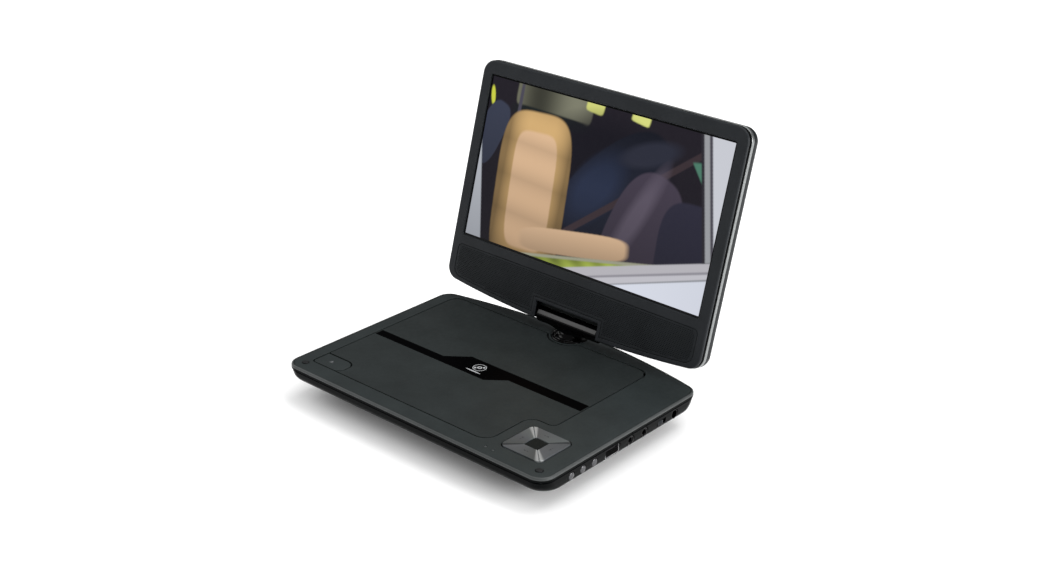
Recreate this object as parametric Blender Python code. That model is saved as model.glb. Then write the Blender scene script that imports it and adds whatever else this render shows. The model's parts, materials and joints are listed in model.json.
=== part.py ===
"""Portable disc player: a flat base with a disc door and keys, and a screen that swivels and tilts.

Metres, +Z up, standing on its feet at z = 0. In the base, y is measured from the base's front edge,
and the empty base_origin puts that edge at FRONT_Y. In the lid, x runs across, z up from the tilt
axis and y from the screen side to the back, and the empty tilt_pivot leans the lid back.
"""

import math

import bmesh
import bpy
from mathutils import Matrix, Vector

# Clearances
GAP = 0.0003  # between pieces that touch on the real object
SEAM = 0.00035  # round a key or a door

# Base
BASE_HALF_WIDTH = 0.1079
BASE_TOP = 0.024
FRONT_Y = -0.1005  # puts the middle of the footprint over the origin
REAR_Y = 0.1655
REAR_BOW = 0.0111  # how far the rear edge draws in at REAR_BOW_X
REAR_BOW_X = 0.098
BASE_CORNER = 0.010
CASE_SPLIT = 0.0203  # top of the lower case
WALL = 0.002
CASE_BOTTOM = 0.0015
FOOT_RADIUS = 0.006
FOOT_PLACES = (
    ("front_left", -0.070, 0.040),
    ("front_right", 0.070, 0.040),
    ("rear_left", -0.068, 0.124),
    ("rear_right", 0.068, 0.124),
)
SCREW_PLACES = (
    ("front_left", -0.050, 0.033),
    ("front_right", 0.050, 0.033),
    ("rear_left", -0.050, 0.134),
    ("rear_right", 0.050, 0.134),
)
CORNER_STEPS = 5
BOW_STEPS = 8

# Disc door and drive
DOOR_LEFT = -0.097
DOOR_RIGHT = 0.0718
DOOR_FRONT = 0.0135
DOOR_REAR = 0.1496
DOOR_STEP_X = 0.0535
DOOR_STEP_Y = 0.0535
DOOR_THICKNESS = 0.002
DOOR_REAR_GAP = 0.00075
DOOR_CORNER_EASE = 0.0012
DOOR_AXIS_Y = 0.149
DOOR_AXIS_Z = 0.0228
PINTLE_RADIUS = 0.0006
PINTLE_LENGTH = 0.0018
PINTLE_X = (-0.0928, 0.0668)  # where the pintles leave the door's rounded rear corners
STRIPE_DEPTH = 0.0007
DISC_X = -0.013
DISC_Y = 0.079
BAY_RADIUS = 0.0625
BAY_FLOOR = 0.0155
BAY_SHEET = 0.0012  # thickness of the bay's floor
DECK_TOP = 0.0216
SLED_TRAVEL = 0.031
LENS_REST_X = 0.011
ROD_SPREAD = 0.013
SCREW_Y = DISC_Y + 0.0195
MECHANISM_Z = 0.0116

# Keys
OPEN_KEY = (-0.0966, -0.0727, 0.0138, 0.0281)  # x low, x high, y low, y high
PAD_X = 0.0775
PAD_Y = 0.0305
PAD_HALF = 0.0155
PAD_CORNER = 0.003
CENTRE_KEY_HALF = 0.0051
KEY_BOTTOM = 0.0212
BUMPER_X = 0.098
BUMPER_Y = 0.0088
LED_PLACES = ((0.0574, 0.0082), (0.0634, 0.0079))

# Right-hand wall
WALL_X = 0.107
PORT_Z = 0.0161
SIDE_KEY_Y = (0.0272, 0.0378, 0.0485)
SIDE_KEY_RADIUS = 0.0025
USB_Y = 0.066
JACK_Y = (0.0836, 0.0974)
JACK_RADIUS = 0.0033
SWITCH_Y = 0.1135
SWITCH_TRAVEL = 0.003
SUPPLY_Y = 0.1285

# Hinge
TURRET_Y = 0.15704
TURRET_RADIUS = 0.0125
TURRET_RING = 0.0016  # width of the case's rim round the turret
HUMP_RADIUS = 0.014  # the case's bulge behind the turret
AXIS_UP = 0.0085  # tilt axis above the base's top
BARREL_RADIUS = 0.0055
BARREL_HALF = 0.0253
SHAFT_RADIUS = 0.004
PIN_RADIUS = 0.0023

# Lid
TILT_REST = math.radians(13.93)
LID_HALF_WIDTH = 0.1079
LID_TOP = 0.15824
LID_BOTTOM = -0.00346
LID_BOW = 0.0055  # how far the bottom edge rises at LID_BOW_X
LID_BOW_X = 0.098
LID_CORNER = 0.0095
LID_FRONT = -0.0075
LID_BACK = 0.0075
NOTCH_HALF = 0.0258
NOTCH_TOP = 0.00844
SCREEN_HALF = 0.0996
SCREEN_LOW = 0.0354
SCREEN_HIGH = 0.1484
GRILLE_HALF = 0.1012
GRILLE_TOP = 0.0285
SPEAKER_X = 0.062
SPEAKER_Z = 0.016
LID_SCREW_X = 0.088
LID_SCREW_Z = 0.018


def clear_scene():
    for obj in list(bpy.data.objects):
        bpy.data.objects.remove(obj)


def material(name, color, roughness, metallic=0.0):
    """The Principled material of this name, made on first use."""
    if name in bpy.data.materials:
        return bpy.data.materials[name]
    made = bpy.data.materials.new(name)
    made.use_nodes = True
    shader = made.node_tree.nodes["Principled BSDF"]
    shader.inputs["Base Color"].default_value = (*color, 1.0)
    shader.inputs["Roughness"].default_value = roughness
    shader.inputs["Metallic"].default_value = metallic
    return made


def empty(name, location, parent=None, rotation=(0.0, 0.0, 0.0)):
    made = bpy.data.objects.new(name, None)
    made.location = location
    made.rotation_euler = rotation
    made.parent = parent
    bpy.context.scene.collection.objects.link(made)
    return made


# Outlines: lists of 2D points, running anticlockwise


def rounded(corners, steps=CORNER_STEPS):
    """Outline through corners (x, y, radius), each rounded by an arc of its radius."""
    points = []
    for i, (x, y, radius) in enumerate(corners):
        here = Vector((x, y))
        if radius == 0:
            points.append(here)
            continue
        before = (Vector(corners[i - 1][:2]) - here).normalized()
        after = (Vector(corners[(i + 1) % len(corners)][:2]) - here).normalized()
        half = before.angle(after) / 2
        middle = here + (before + after).normalized() * radius / math.sin(half)
        start = here + before * radius / math.tan(half) - middle
        finish = here + after * radius / math.tan(half) - middle
        first = math.atan2(start.y, start.x)
        sweep = (math.atan2(finish.y, finish.x) - first + math.pi) % math.tau - math.pi
        points += arc(middle, radius, first, first + sweep, steps)
    return points


def arc(middle, radius, first, last, steps):
    angles = [first + (last - first) * i / steps for i in range(steps + 1)]
    return [Vector((middle[0] + radius * math.cos(a), middle[1] + radius * math.sin(a))) for a in angles]


def rectangle(x_low, x_high, y_low, y_high, radius=0.0, steps=CORNER_STEPS):
    places = ((x_low, y_low), (x_high, y_low), (x_high, y_high), (x_low, y_high))
    return rounded([(x, y, radius) for x, y in places], steps)


def circle(x, y, radius, steps=24):
    return arc((x, y), radius, 0.0, math.tau * (1 - 1 / steps), steps - 1)


def offset(points, distance):
    """The outline moved outwards by distance."""
    moved = []
    for i, here in enumerate(points):
        before = (here - points[i - 1]).normalized()
        after = (points[(i + 1) % len(points)] - here).normalized()
        normal = Vector((before.y + after.y, -before.x - after.x)).normalized()
        moved.append(here + normal * distance / normal.dot(Vector((after.y, -after.x))))
    return moved


def base_outline(side, front, rear, corner):
    """The base's plan, with its sides, front and rear drawn in by their own insets."""
    half = BASE_HALF_WIDTH - side

    def rear_y(x):
        return REAR_Y - rear - REAR_BOW * (x / REAR_BOW_X) ** 2

    reach = half - 0.018
    bow = [reach * (1 - 2 * i / BOW_STEPS) for i in range(BOW_STEPS + 1)]
    corners = [(-half, front, corner), (half, front, corner), (half, rear_y(half), corner)]
    corners += [(x, rear_y(x), 0.0) for x in bow]
    corners.append((-half, rear_y(half), corner))
    return rounded(corners)


def door_outline(grow=0.0, rear_grow=0.0, key_notch=True):
    """The disc door's plan, stepped round the pad, the open key and the turret."""
    rear = DOOR_REAR + rear_grow
    # The door's rear corners are rounder than the opening's, to clear it as they swing down.
    ease = 0.0 if rear_grow else DOOR_CORNER_EASE
    notch = TURRET_RADIUS + 0.0004 + TURRET_RING + 2 * (SEAM - grow)
    across = math.asin((TURRET_Y - rear) / notch)
    turret_arc = arc((0.0, TURRET_Y), notch, -across, across - math.pi, 8)
    _, key_right, _, key_rear = OPEN_KEY
    if key_notch:
        corners = [(key_right - 0.0031, DOOR_FRONT - grow, 0.0)]
    else:
        corners = [(DOOR_LEFT - grow, DOOR_FRONT - grow, 0.003)]
    corners += [
        (DOOR_STEP_X + grow, DOOR_FRONT - grow, 0.009 + grow),
        (DOOR_STEP_X + grow, DOOR_STEP_Y - grow, 0.008 - grow),
        (DOOR_RIGHT + grow, DOOR_STEP_Y - grow, 0.0045 + grow),
        (DOOR_RIGHT + grow, rear, 0.008 + grow + ease),
    ]
    corners += [(point.x, point.y, 0.0) for point in turret_arc]
    corners.append((DOOR_LEFT - grow, rear, 0.007 + grow + ease))
    if key_notch:
        corners += [
            (DOOR_LEFT, key_rear + 2 * SEAM, 0.001),
            (key_right + SEAM, key_rear + 2 * SEAM, 0.0065),
            (key_right + SEAM, DOOR_FRONT + 0.0036, 0.003),
        ]
    return rounded(corners)


def lid_outline(inset, corner):
    """The lid's face, in the lid's x and z, drawn in by inset and notched for the hinge."""
    half = LID_HALF_WIDTH - inset

    def low(x):
        return LID_BOTTOM + inset + LID_BOW * (x / LID_BOW_X) ** 2

    notch = NOTCH_HALF + inset
    right = [notch + (half - 0.017 - notch) * i / 4 for i in range(5)]
    corners = [(x, low(x), 0.0) for x in right]
    corners += [
        (half, low(half), corner),
        (half, LID_TOP - inset, corner),
        (-half, LID_TOP - inset, corner),
        (-half, low(half), corner),
    ]
    corners += [(-x, low(x), 0.0) for x in reversed(right)]
    corners += [(-notch, NOTCH_TOP + inset, 0.0008), (notch, NOTCH_TOP + inset, 0.0008)]
    return rounded(corners)


# Rings: an outline placed in space


def at_z(points, z):
    return [(p[0], p[1], z) for p in points]


def at_y(points, y):
    return [(p[0], y, p[1]) for p in points]


def at_x(points, x):
    return [(x, p[0], p[1]) for p in points]


# Solids


def solid(name, rings, finish, parent, origin=(0.0, 0.0, 0.0), loop=False):
    """Closed body through rings of equal length, capped at both ends or, with loop, joined to itself."""
    shape = bmesh.new()
    start = Vector(origin)
    rows = [[shape.verts.new(Vector(point) - start) for point in ring] for ring in rings]
    pairs = list(zip(rows, rows[1:]))
    if loop:
        pairs.append((rows[-1], rows[0]))
    else:
        shape.faces.new(rows[0])
        shape.faces.new(rows[-1])
    for low, high in pairs:
        for i in range(len(low)):
            j = (i + 1) % len(low)
            shape.faces.new((low[i], low[j], high[j], high[i]))
    bmesh.ops.recalc_face_normals(shape, faces=shape.faces)
    mesh = bpy.data.meshes.new(name)
    shape.to_mesh(mesh)
    shape.free()
    mesh.shade_smooth()
    mesh.set_sharp_from_angle(angle=math.radians(32))
    made = bpy.data.objects.new(name, mesh)
    made.location = origin
    made.parent = parent
    bpy.context.scene.collection.objects.link(made)
    if finish:
        mesh.materials.append(finish)
    return made


def box(name, low, high, finish, parent, radius=0.0, origin=(0.0, 0.0, 0.0)):
    outline = rectangle(low[0], high[0], low[1], high[1], radius, 2)
    return solid(name, [at_z(outline, low[2]), at_z(outline, high[2])], finish, parent, origin)


def turned(name, profile, middle, axis, finish, parent, origin=(0.0, 0.0, 0.0), steps=20, loop=False):
    """Body turned round axis ("X", "Y" or "Z") through middle, from its profile of (radius, height)."""
    place = {"X": at_x, "Y": at_y, "Z": at_z}[axis]
    plane = {"X": (1, 2), "Y": (0, 2), "Z": (0, 1)}[axis]
    along = {"X": 0, "Y": 1, "Z": 2}[axis]
    u, v = middle[plane[0]], middle[plane[1]]
    rings = [place(circle(u, v, radius, steps), middle[along] + height) for radius, height in profile]
    return solid(name, rings, finish, parent, origin, loop)


def as_tool(obj):
    obj.hide_render = True
    obj.display_type = "WIRE"
    return obj


def combine(target, tool, operation):
    as_tool(tool)
    modifier = target.modifiers.new(tool.name, "BOOLEAN")
    modifier.operation = operation
    modifier.solver = "EXACT"
    modifier.object = tool


def cut(target, tool):
    combine(target, tool, "DIFFERENCE")


def join(target, tool):
    combine(target, tool, "UNION")


# Finishes


def case_black():
    return material("case_black", (0.022, 0.026, 0.027), 0.45)


def wall_black():
    return material("wall_black", (0.008, 0.009, 0.010), 0.3)


def gloss_black():
    return material("gloss_black", (0.004, 0.004, 0.005), 0.08)


def dark_metal():
    return material("dark_metal", (0.09, 0.10, 0.105), 0.3, 0.8)


def steel():
    return material("steel", (0.55, 0.55, 0.56), 0.28, 1.0)


def silver():
    return material("silver", (0.75, 0.76, 0.78), 0.2, 0.9)


def rubber():
    return material("rubber", (0.012, 0.012, 0.012), 0.8)


def circuit_green():
    return material("circuit_green", (0.01, 0.12, 0.05), 0.5)


# Base


def lower_case(base):
    outer = (
        (CASE_BOTTOM, 0.025, 0.027, 0.025, 0.010),
        (0.0026, 0.022, 0.024, 0.022, 0.011),
        (0.0080, 0.009, 0.013, 0.011, 0.012),
        (0.0120, 0.0022, 0.0055, 0.0042, 0.012),
        (0.0155, 0.0009, 0.0016, 0.0014, 0.011),
        (CASE_SPLIT, 0.0004, 0.0004, 0.0004, BASE_CORNER),
    )
    inner = (
        (CASE_SPLIT, 0.0024, 0.0024, 0.0024, 0.008),
        (0.0158, 0.0029, 0.0036, 0.0034, 0.009),
        (0.0130, 0.0044, 0.0080, 0.0064, 0.010),
        (0.0094, 0.0116, 0.0160, 0.0140, 0.010),
        (0.0036, 0.0250, 0.0270, 0.0250, 0.009),
    )
    rings = [at_z(base_outline(*insets), z) for z, *insets in outer + inner]
    case = solid("lower_case", rings, wall_black(), base)
    hump = [(0.008, 0.010), (0.0125, 0.0145), (HUMP_RADIUS, CASE_SPLIT)]
    join(case, turned("tool_lower_hump", hump, (0.0, TURRET_Y, 0.0), "Z", None, base, steps=32))
    well = [(TURRET_RADIUS, 0.0135), (TURRET_RADIUS, 0.030)]
    cut(case, turned("tool_lower_well", well, (0.0, TURRET_Y, 0.0), "Z", None, base, steps=32))
    for i, y in enumerate(SIDE_KEY_Y):
        bore = [(SIDE_KEY_RADIUS + GAP, -0.010), (SIDE_KEY_RADIUS + GAP, 0.003)]
        cut(case, turned(f"tool_side_key_{i + 1}", bore, (WALL_X, y, PORT_Z), "X", None, base, steps=14))
    for i, y in enumerate((*JACK_Y, SUPPLY_Y)):
        bore = [(JACK_RADIUS + GAP, -0.010), (JACK_RADIUS + GAP, 0.003)]
        cut(case, turned(f"tool_jack_{i + 1}", bore, (WALL_X, y, PORT_Z), "X", None, base, steps=14))
    usb_low = (WALL_X - 0.010, USB_Y - 0.0069, PORT_Z - 0.0032)
    cut(case, box("tool_usb", usb_low, (WALL_X + 0.003, USB_Y + 0.0069, PORT_Z + 0.0032), None, base))
    slot_low = (WALL_X - 0.010, SWITCH_Y - 0.0029, PORT_Z - 0.0018)
    slot_high = (WALL_X + 0.003, SWITCH_Y + SWITCH_TRAVEL + 0.0029, PORT_Z + 0.0018)
    cut(case, box("tool_switch", slot_low, slot_high, None, base))
    for name, x, y in FOOT_PLACES:
        recess = [(FOOT_RADIUS + GAP, 0.0), (FOOT_RADIUS + GAP, CASE_BOTTOM + 0.0005)]
        cut(case, turned(f"tool_foot_{name}", recess, (x, y, 0.0), "Z", None, base, steps=18))
    for name, x, y in SCREW_PLACES:
        sink = [(0.0031, 0.0), (0.0031, 0.005)]
        cut(case, turned(f"tool_sink_{name}", sink, (x, y, 0.0), "Z", None, base, steps=12))


def feet(base):
    for name, x, y in FOOT_PLACES:
        profile = [(FOOT_RADIUS - 0.0006, 0.0), (FOOT_RADIUS, 0.0005), (FOOT_RADIUS, CASE_BOTTOM + 0.0002)]
        turned(f"foot_{name}", profile, (x, y, 0.0), "Z", rubber(), base, (x, y, 0.0), 18)


def case_screws(base):
    for name, x, y in SCREW_PLACES:
        profile = [(0.0020, 0.0018), (0.0028, 0.0022), (0.0028, 0.0032), (0.0014, 0.0038), (0.0014, 0.0120)]
        turned(f"case_screw_{name}", profile, (x, y, 0.0), "Z", steel(), base, (x, y, 0.0), 10)


def upper_case(base):
    levels = (
        (BASE_TOP - WALL, 0.0028, 0.0075),
        (CASE_SPLIT + GAP, 0.0028, 0.0075),
        (CASE_SPLIT + GAP, 0.0, BASE_CORNER),
        (BASE_TOP - 0.0015, 0.0, BASE_CORNER),
        (BASE_TOP - 0.0004, 0.0006, 0.0095),
        (BASE_TOP, 0.0013, 0.009),
    )
    rings = [at_z(base_outline(inset, inset, inset, corner), z) for z, inset, corner in levels]
    case = solid("upper_case", rings, case_black(), base)
    rim = TURRET_RADIUS + TURRET_RING
    hump = [(rim, CASE_SPLIT + GAP), (rim, BASE_TOP - 0.0012), (rim - 0.0006, BASE_TOP)]
    join(case, turned("tool_upper_hump", hump, (0.0, TURRET_Y, 0.0), "Z", None, base, steps=40))
    well = [(TURRET_RADIUS + 0.0004, 0.010), (TURRET_RADIUS + 0.0004, 0.030)]
    cut(case, turned("tool_upper_well", well, (0.0, TURRET_Y, 0.0), "Z", None, base, steps=40))
    opening = door_outline(SEAM, DOOR_REAR_GAP, key_notch=False)
    cut(case, solid("tool_door_opening", [at_z(opening, 0.018), at_z(opening, 0.030)], None, base))
    for side, inner in zip((-1, 1), PINTLE_X):
        x = sorted((inner - side * 0.001, inner + side * (PINTLE_LENGTH + 0.0005)))
        low = (x[0], DOOR_AXIS_Y - 0.0009, 0.018)
        high = (x[1], DOOR_AXIS_Y + 0.0009, DOOR_AXIS_Z + PINTLE_RADIUS + GAP)
        cut(case, box(f"tool_pintle_{side}", low, high, None, base))
    half = PAD_HALF + SEAM
    well = rectangle(PAD_X - half, PAD_X + half, PAD_Y - half, PAD_Y + half, PAD_CORNER + SEAM)
    cut(case, solid("tool_pad_well", [at_z(well, 0.018), at_z(well, 0.030)], None, base))
    for side in (-1, 1):
        bore = [(0.0025, 0.018), (0.0025, 0.030)]
        cut(case, turned(f"tool_bumper_{side}", bore, (side * BUMPER_X, BUMPER_Y, 0.0), "Z", None, base))
    for i, (x, y) in enumerate(LED_PLACES):
        bore = [(0.0010, 0.018), (0.0010, 0.030)]
        cut(case, turned(f"tool_led_{i + 1}", bore, (x, y, 0.0), "Z", None, base, steps=12))


def top_trim(base):
    """The two bumpers that the closed lid rests on, and the two light pipes."""
    for name, side in (("left", -1), ("right", 1)):
        profile = [(0.0022, 0.0206), (0.0022, BASE_TOP + 0.0003), (0.0016, BASE_TOP + 0.0006)]
        place = (side * BUMPER_X, BUMPER_Y, 0.0)
        turned(f"bumper_{name}", profile, place, "Z", rubber(), base, place)
    lens = material("light_pipe", (0.75, 0.78, 0.8), 0.3)
    for name, (x, y) in zip(("power", "charge"), LED_PLACES):
        profile = [(0.0007, 0.0190), (0.0007, BASE_TOP), (0.0004, BASE_TOP + 0.0001)]
        turned(f"indicator_{name}", profile, (x, y, 0.0), "Z", lens, base, (x, y, 0.0), 12)


def screw_posts(case, inside, top, base):
    """Joins a bored post for each case screw that comes up inside, or outside, the bay's circle."""
    for name, x, y in SCREW_PLACES:
        if (math.hypot(x - DISC_X, y - DISC_Y) < BAY_RADIUS) != inside:
            continue
        post = [(0.0032, 0.0068), (0.0032, top)]
        join(case, turned(f"tool_post_{name}", post, (x, y, 0.0), "Z", None, base, steps=14))
        pilot = [(0.0017, 0.0040), (0.0017, 0.0130)]
        cut(case, turned(f"tool_pilot_{name}", pilot, (x, y, 0.0), "Z", None, base, steps=14))


def drive_deck(base):
    """The plate under the disc door, with a skirt round the disc bay, and the bay's floor inside it."""
    finish = material("deck_black", (0.02, 0.02, 0.022), 0.5)
    outline = offset(door_outline(SEAM, DOOR_REAR_GAP, key_notch=False), 0.0010)
    plate = [at_z(outline, DECK_TOP - 0.0018), at_z(outline, DECK_TOP)]
    deck = solid("drive_deck", plate, finish, base)
    middle = (DISC_X, DISC_Y, 0.0)
    skirt = [(BAY_RADIUS + 0.0014, BAY_FLOOR - BAY_SHEET), (BAY_RADIUS + 0.0014, DECK_TOP - 0.0005)]
    join(deck, turned("tool_skirt", skirt, middle, "Z", None, base, steps=56))
    screw_posts(deck, False, DECK_TOP - 0.0010, base)
    bay = [(BAY_RADIUS, 0.010), (BAY_RADIUS, 0.030)]
    cut(deck, turned("tool_bay", bay, middle, "Z", None, base, steps=56))
    key_middle = ((OPEN_KEY[0] + OPEN_KEY[1]) / 2, (OPEN_KEY[2] + OPEN_KEY[3]) / 2, 0.0)
    stem = [(0.0024, 0.010), (0.0024, 0.030)]
    cut(deck, turned("tool_key_stem", stem, key_middle, "Z", None, base, steps=16))
    hump = [(HUMP_RADIUS + 0.0004, 0.010), (HUMP_RADIUS + 0.0004, 0.030)]
    cut(deck, turned("tool_deck_hump", hump, (0.0, TURRET_Y, 0.0), "Z", None, base, steps=36))
    for side, inner in zip((-1, 1), PINTLE_X):
        low = (inner - 0.004, DOOR_AXIS_Y - 0.002, 0.018)
        cut(deck, box(f"tool_hinge_relief_{side}", low, (inner + 0.004, 0.160, 0.030), None, base))

    sheet = [(BAY_RADIUS - GAP, BAY_FLOOR - BAY_SHEET), (BAY_RADIUS - GAP, BAY_FLOOR)]
    floor = turned("bay_floor", sheet, middle, "Z", finish, base, steps=56)
    screw_posts(floor, True, BAY_FLOOR - 0.0004, base)
    slot_right = LENS_REST_X + SLED_TRAVEL + 0.0053
    slot = rectangle(DISC_X - 0.0172, slot_right, DISC_Y - 0.0172, DISC_Y + 0.0172, 0.006)
    cut(floor, solid("tool_sled_slot", [at_z(slot, 0.010), at_z(slot, 0.030)], None, base))


def door_stripe_outline(grow=0.0):
    """The inlaid band across the door: low on the left, stepping round the badge, high on the right."""
    corners = [
        (DOOR_LEFT + 0.0006, 0.0695),
        (0.0008, 0.0695),
        (0.0126, 0.0797),
        (DOOR_RIGHT - 0.0006, 0.0797),
        (DOOR_RIGHT - 0.0006, 0.0885),
        (-0.0262, 0.0885),
        (-0.0405, 0.0765),
        (DOOR_LEFT + 0.0006, 0.0765),
    ]
    return offset(rounded([(x, y, 0.0) for x, y in corners]), grow)


def disc_door(base):
    pivot = (0.0, DOOR_AXIS_Y, DOOR_AXIS_Z)
    levels = ((BASE_TOP - DOOR_THICKNESS, 0.0), (BASE_TOP - 0.0003, 0.0), (BASE_TOP, -0.0003))
    rings = [at_z(offset(door_outline(), grow), z) for z, grow in levels]
    door = solid("disc_door", rings, case_black(), base, pivot)
    for side, inner in zip((-1, 1), PINTLE_X):
        profile = [(PINTLE_RADIUS, -side * 0.002), (PINTLE_RADIUS, side * PINTLE_LENGTH)]
        place = (inner, DOOR_AXIS_Y, DOOR_AXIS_Z)
        join(door, turned(f"tool_door_pintle_{side}", profile, place, "X", None, base, steps=12))
    recess = door_stripe_outline(GAP)
    floor = BASE_TOP - STRIPE_DEPTH - GAP
    cut(door, solid("tool_stripe_recess", [at_z(recess, floor), at_z(recess, 0.030)], None, base))
    stripe = door_stripe_outline()
    levels = (BASE_TOP - STRIPE_DEPTH, BASE_TOP)
    solid("door_stripe", [at_z(stripe, z) for z in levels], gloss_black(), base, pivot)


def open_button(base):
    x_low, x_high, y_low, y_high = OPEN_KEY
    middle = ((x_low + x_high) / 2, (y_low + y_high) / 2, BASE_TOP)
    corners = [
        (x_low, y_low, 0.0022),
        (x_high - 0.0035, y_low, 0.002),
        (x_high, y_low + 0.0035, 0.002),
        (x_high, y_high, 0.006),
        (x_low, y_high, 0.001),
    ]
    outline = rounded(corners)
    levels = ((BASE_TOP - 0.0011, 0.0), (BASE_TOP - 0.0003, 0.0), (BASE_TOP, -0.0003))
    rings = [at_z(offset(outline, grow), z) for z, grow in levels]
    key = solid("open_button", rings, case_black(), base, middle)
    stem = [(0.0020, 0.0170), (0.0020, BASE_TOP - 0.0006)]
    join(key, turned("tool_open_stem", stem, (middle[0], middle[1], 0.0), "Z", None, base, steps=16))


def pad_keys(base):
    """Four wedge keys round a square one."""
    inner = CENTRE_KEY_HALF + 0.0005
    slack = 0.0003
    shoulder = PAD_HALF - PAD_CORNER
    start = math.radians(-130)
    wedge = arc((-shoulder, -shoulder), PAD_CORNER, start, -math.pi / 2, 3)
    wedge += arc((shoulder, -shoulder), PAD_CORNER, -math.pi / 2, -math.pi - start, 3)
    wedge += [Vector((inner - slack, -inner)), Vector((-inner + slack, -inner))]
    for name, quarter in (("down", 0), ("right", 1), ("up", 2), ("left", 3)):
        turn = Matrix.Rotation(quarter * math.pi / 2, 2)
        place = Vector((PAD_X, PAD_Y))
        rings = []
        for z, grow in ((KEY_BOTTOM, 0.0), (BASE_TOP - 0.0001, 0.0), (BASE_TOP + 0.0005, -0.0008)):
            rings.append(at_z([turn @ point + place for point in offset(wedge, grow)], z))
        origin = Vector((PAD_X, PAD_Y, BASE_TOP)) + (turn @ Vector((0.0, -0.0105))).to_3d()
        solid(f"pad_key_{name}", rings, dark_metal(), base, origin)
    half = CENTRE_KEY_HALF
    square = rectangle(PAD_X - half, PAD_X + half, PAD_Y - half, PAD_Y + half, 0.0004, 2)
    levels = ((KEY_BOTTOM, 0.0), (BASE_TOP, 0.0), (BASE_TOP + 0.0002, -0.0003))
    rings = [at_z(offset(square, grow), z) for z, grow in levels]
    solid("pad_key_centre", rings, case_black(), base, (PAD_X, PAD_Y, BASE_TOP))


def side_keys(base):
    for name, y in zip(("front", "middle", "rear"), SIDE_KEY_Y):
        profile = [(SIDE_KEY_RADIUS, -0.0050), (SIDE_KEY_RADIUS, -0.0002), (0.0021, 0.0003)]
        profile += [(0.0012, 0.0007), (0.0003, 0.0008)]
        place = (WALL_X, y, PORT_Z)
        turned(f"side_button_{name}", profile, place, "X", silver(), base, place, 14)


def ports(base):
    shell_low = (WALL_X - 0.014, USB_Y - 0.0066, PORT_Z - 0.0029)
    shell_high = (WALL_X - 0.0003, USB_Y + 0.0066, PORT_Z + 0.0029)
    socket = box("usb_socket", shell_low, shell_high, steel(), base)
    mouth_low = (WALL_X - 0.0130, USB_Y - 0.0062, PORT_Z - 0.0025)
    mouth_high = (WALL_X + 0.002, USB_Y + 0.0062, PORT_Z + 0.0025)
    cut(socket, box("tool_usb_mouth", mouth_low, mouth_high, None, base))
    tongue_low = (WALL_X - 0.0135, USB_Y - 0.0055, PORT_Z + 0.0001)
    tongue_high = (WALL_X - 0.0020, USB_Y + 0.0055, PORT_Z + 0.0019)
    join(socket, box("tool_usb_tongue", tongue_low, tongue_high, None, base))
    for name, y in zip(("headphone_jack", "video_jack"), JACK_Y):
        profile = [(JACK_RADIUS, -0.012), (JACK_RADIUS, -0.0004), (0.0029, 0.0), (0.0019, 0.0)]
        profile += [(0.00175, -0.0004), (0.00175, -0.010)]
        turned(name, profile, (WALL_X, y, PORT_Z), "X", silver(), base, (WALL_X, y, PORT_Z), 14)
    profile = [(JACK_RADIUS, -0.012), (JACK_RADIUS, -0.0004), (0.0030, 0.0), (0.0026, 0.0)]
    profile.append((0.0026, -0.009))
    profile += [(0.0007, -0.009), (0.0007, -0.0020), (0.0004, -0.0016)]
    place = (WALL_X, SUPPLY_Y, PORT_Z)
    turned("supply_jack", profile, place, "X", gloss_black(), base, place, 14)


def power_switch(base):
    low = (WALL_X - 0.004, SWITCH_Y - 0.0025, PORT_Z - 0.0014)
    high = (WALL_X + 0.0006, SWITCH_Y + 0.0025, PORT_Z + 0.0014)
    box("power_switch", low, high, wall_black(), base, origin=(WALL_X, SWITCH_Y, PORT_Z))


def electronics(base):
    board = rectangle(-0.078, 0.062, 0.040, 0.127, 0.003, 2)
    solid("main_board", [at_z(board, 0.0042), at_z(board, 0.0054)], circuit_green(), base)
    cell = rectangle(0.066, 0.092, 0.060, 0.136, 0.003, 3)
    levels = ((0.0105, -0.0006), (0.0111, 0.0), (0.0179, 0.0), (0.0185, -0.0006))
    rings = [at_z(offset(cell, grow), z) for z, grow in levels]
    solid("battery_pack", rings, material("battery_wrap", (0.12, 0.2, 0.34), 0.5), base)


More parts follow.
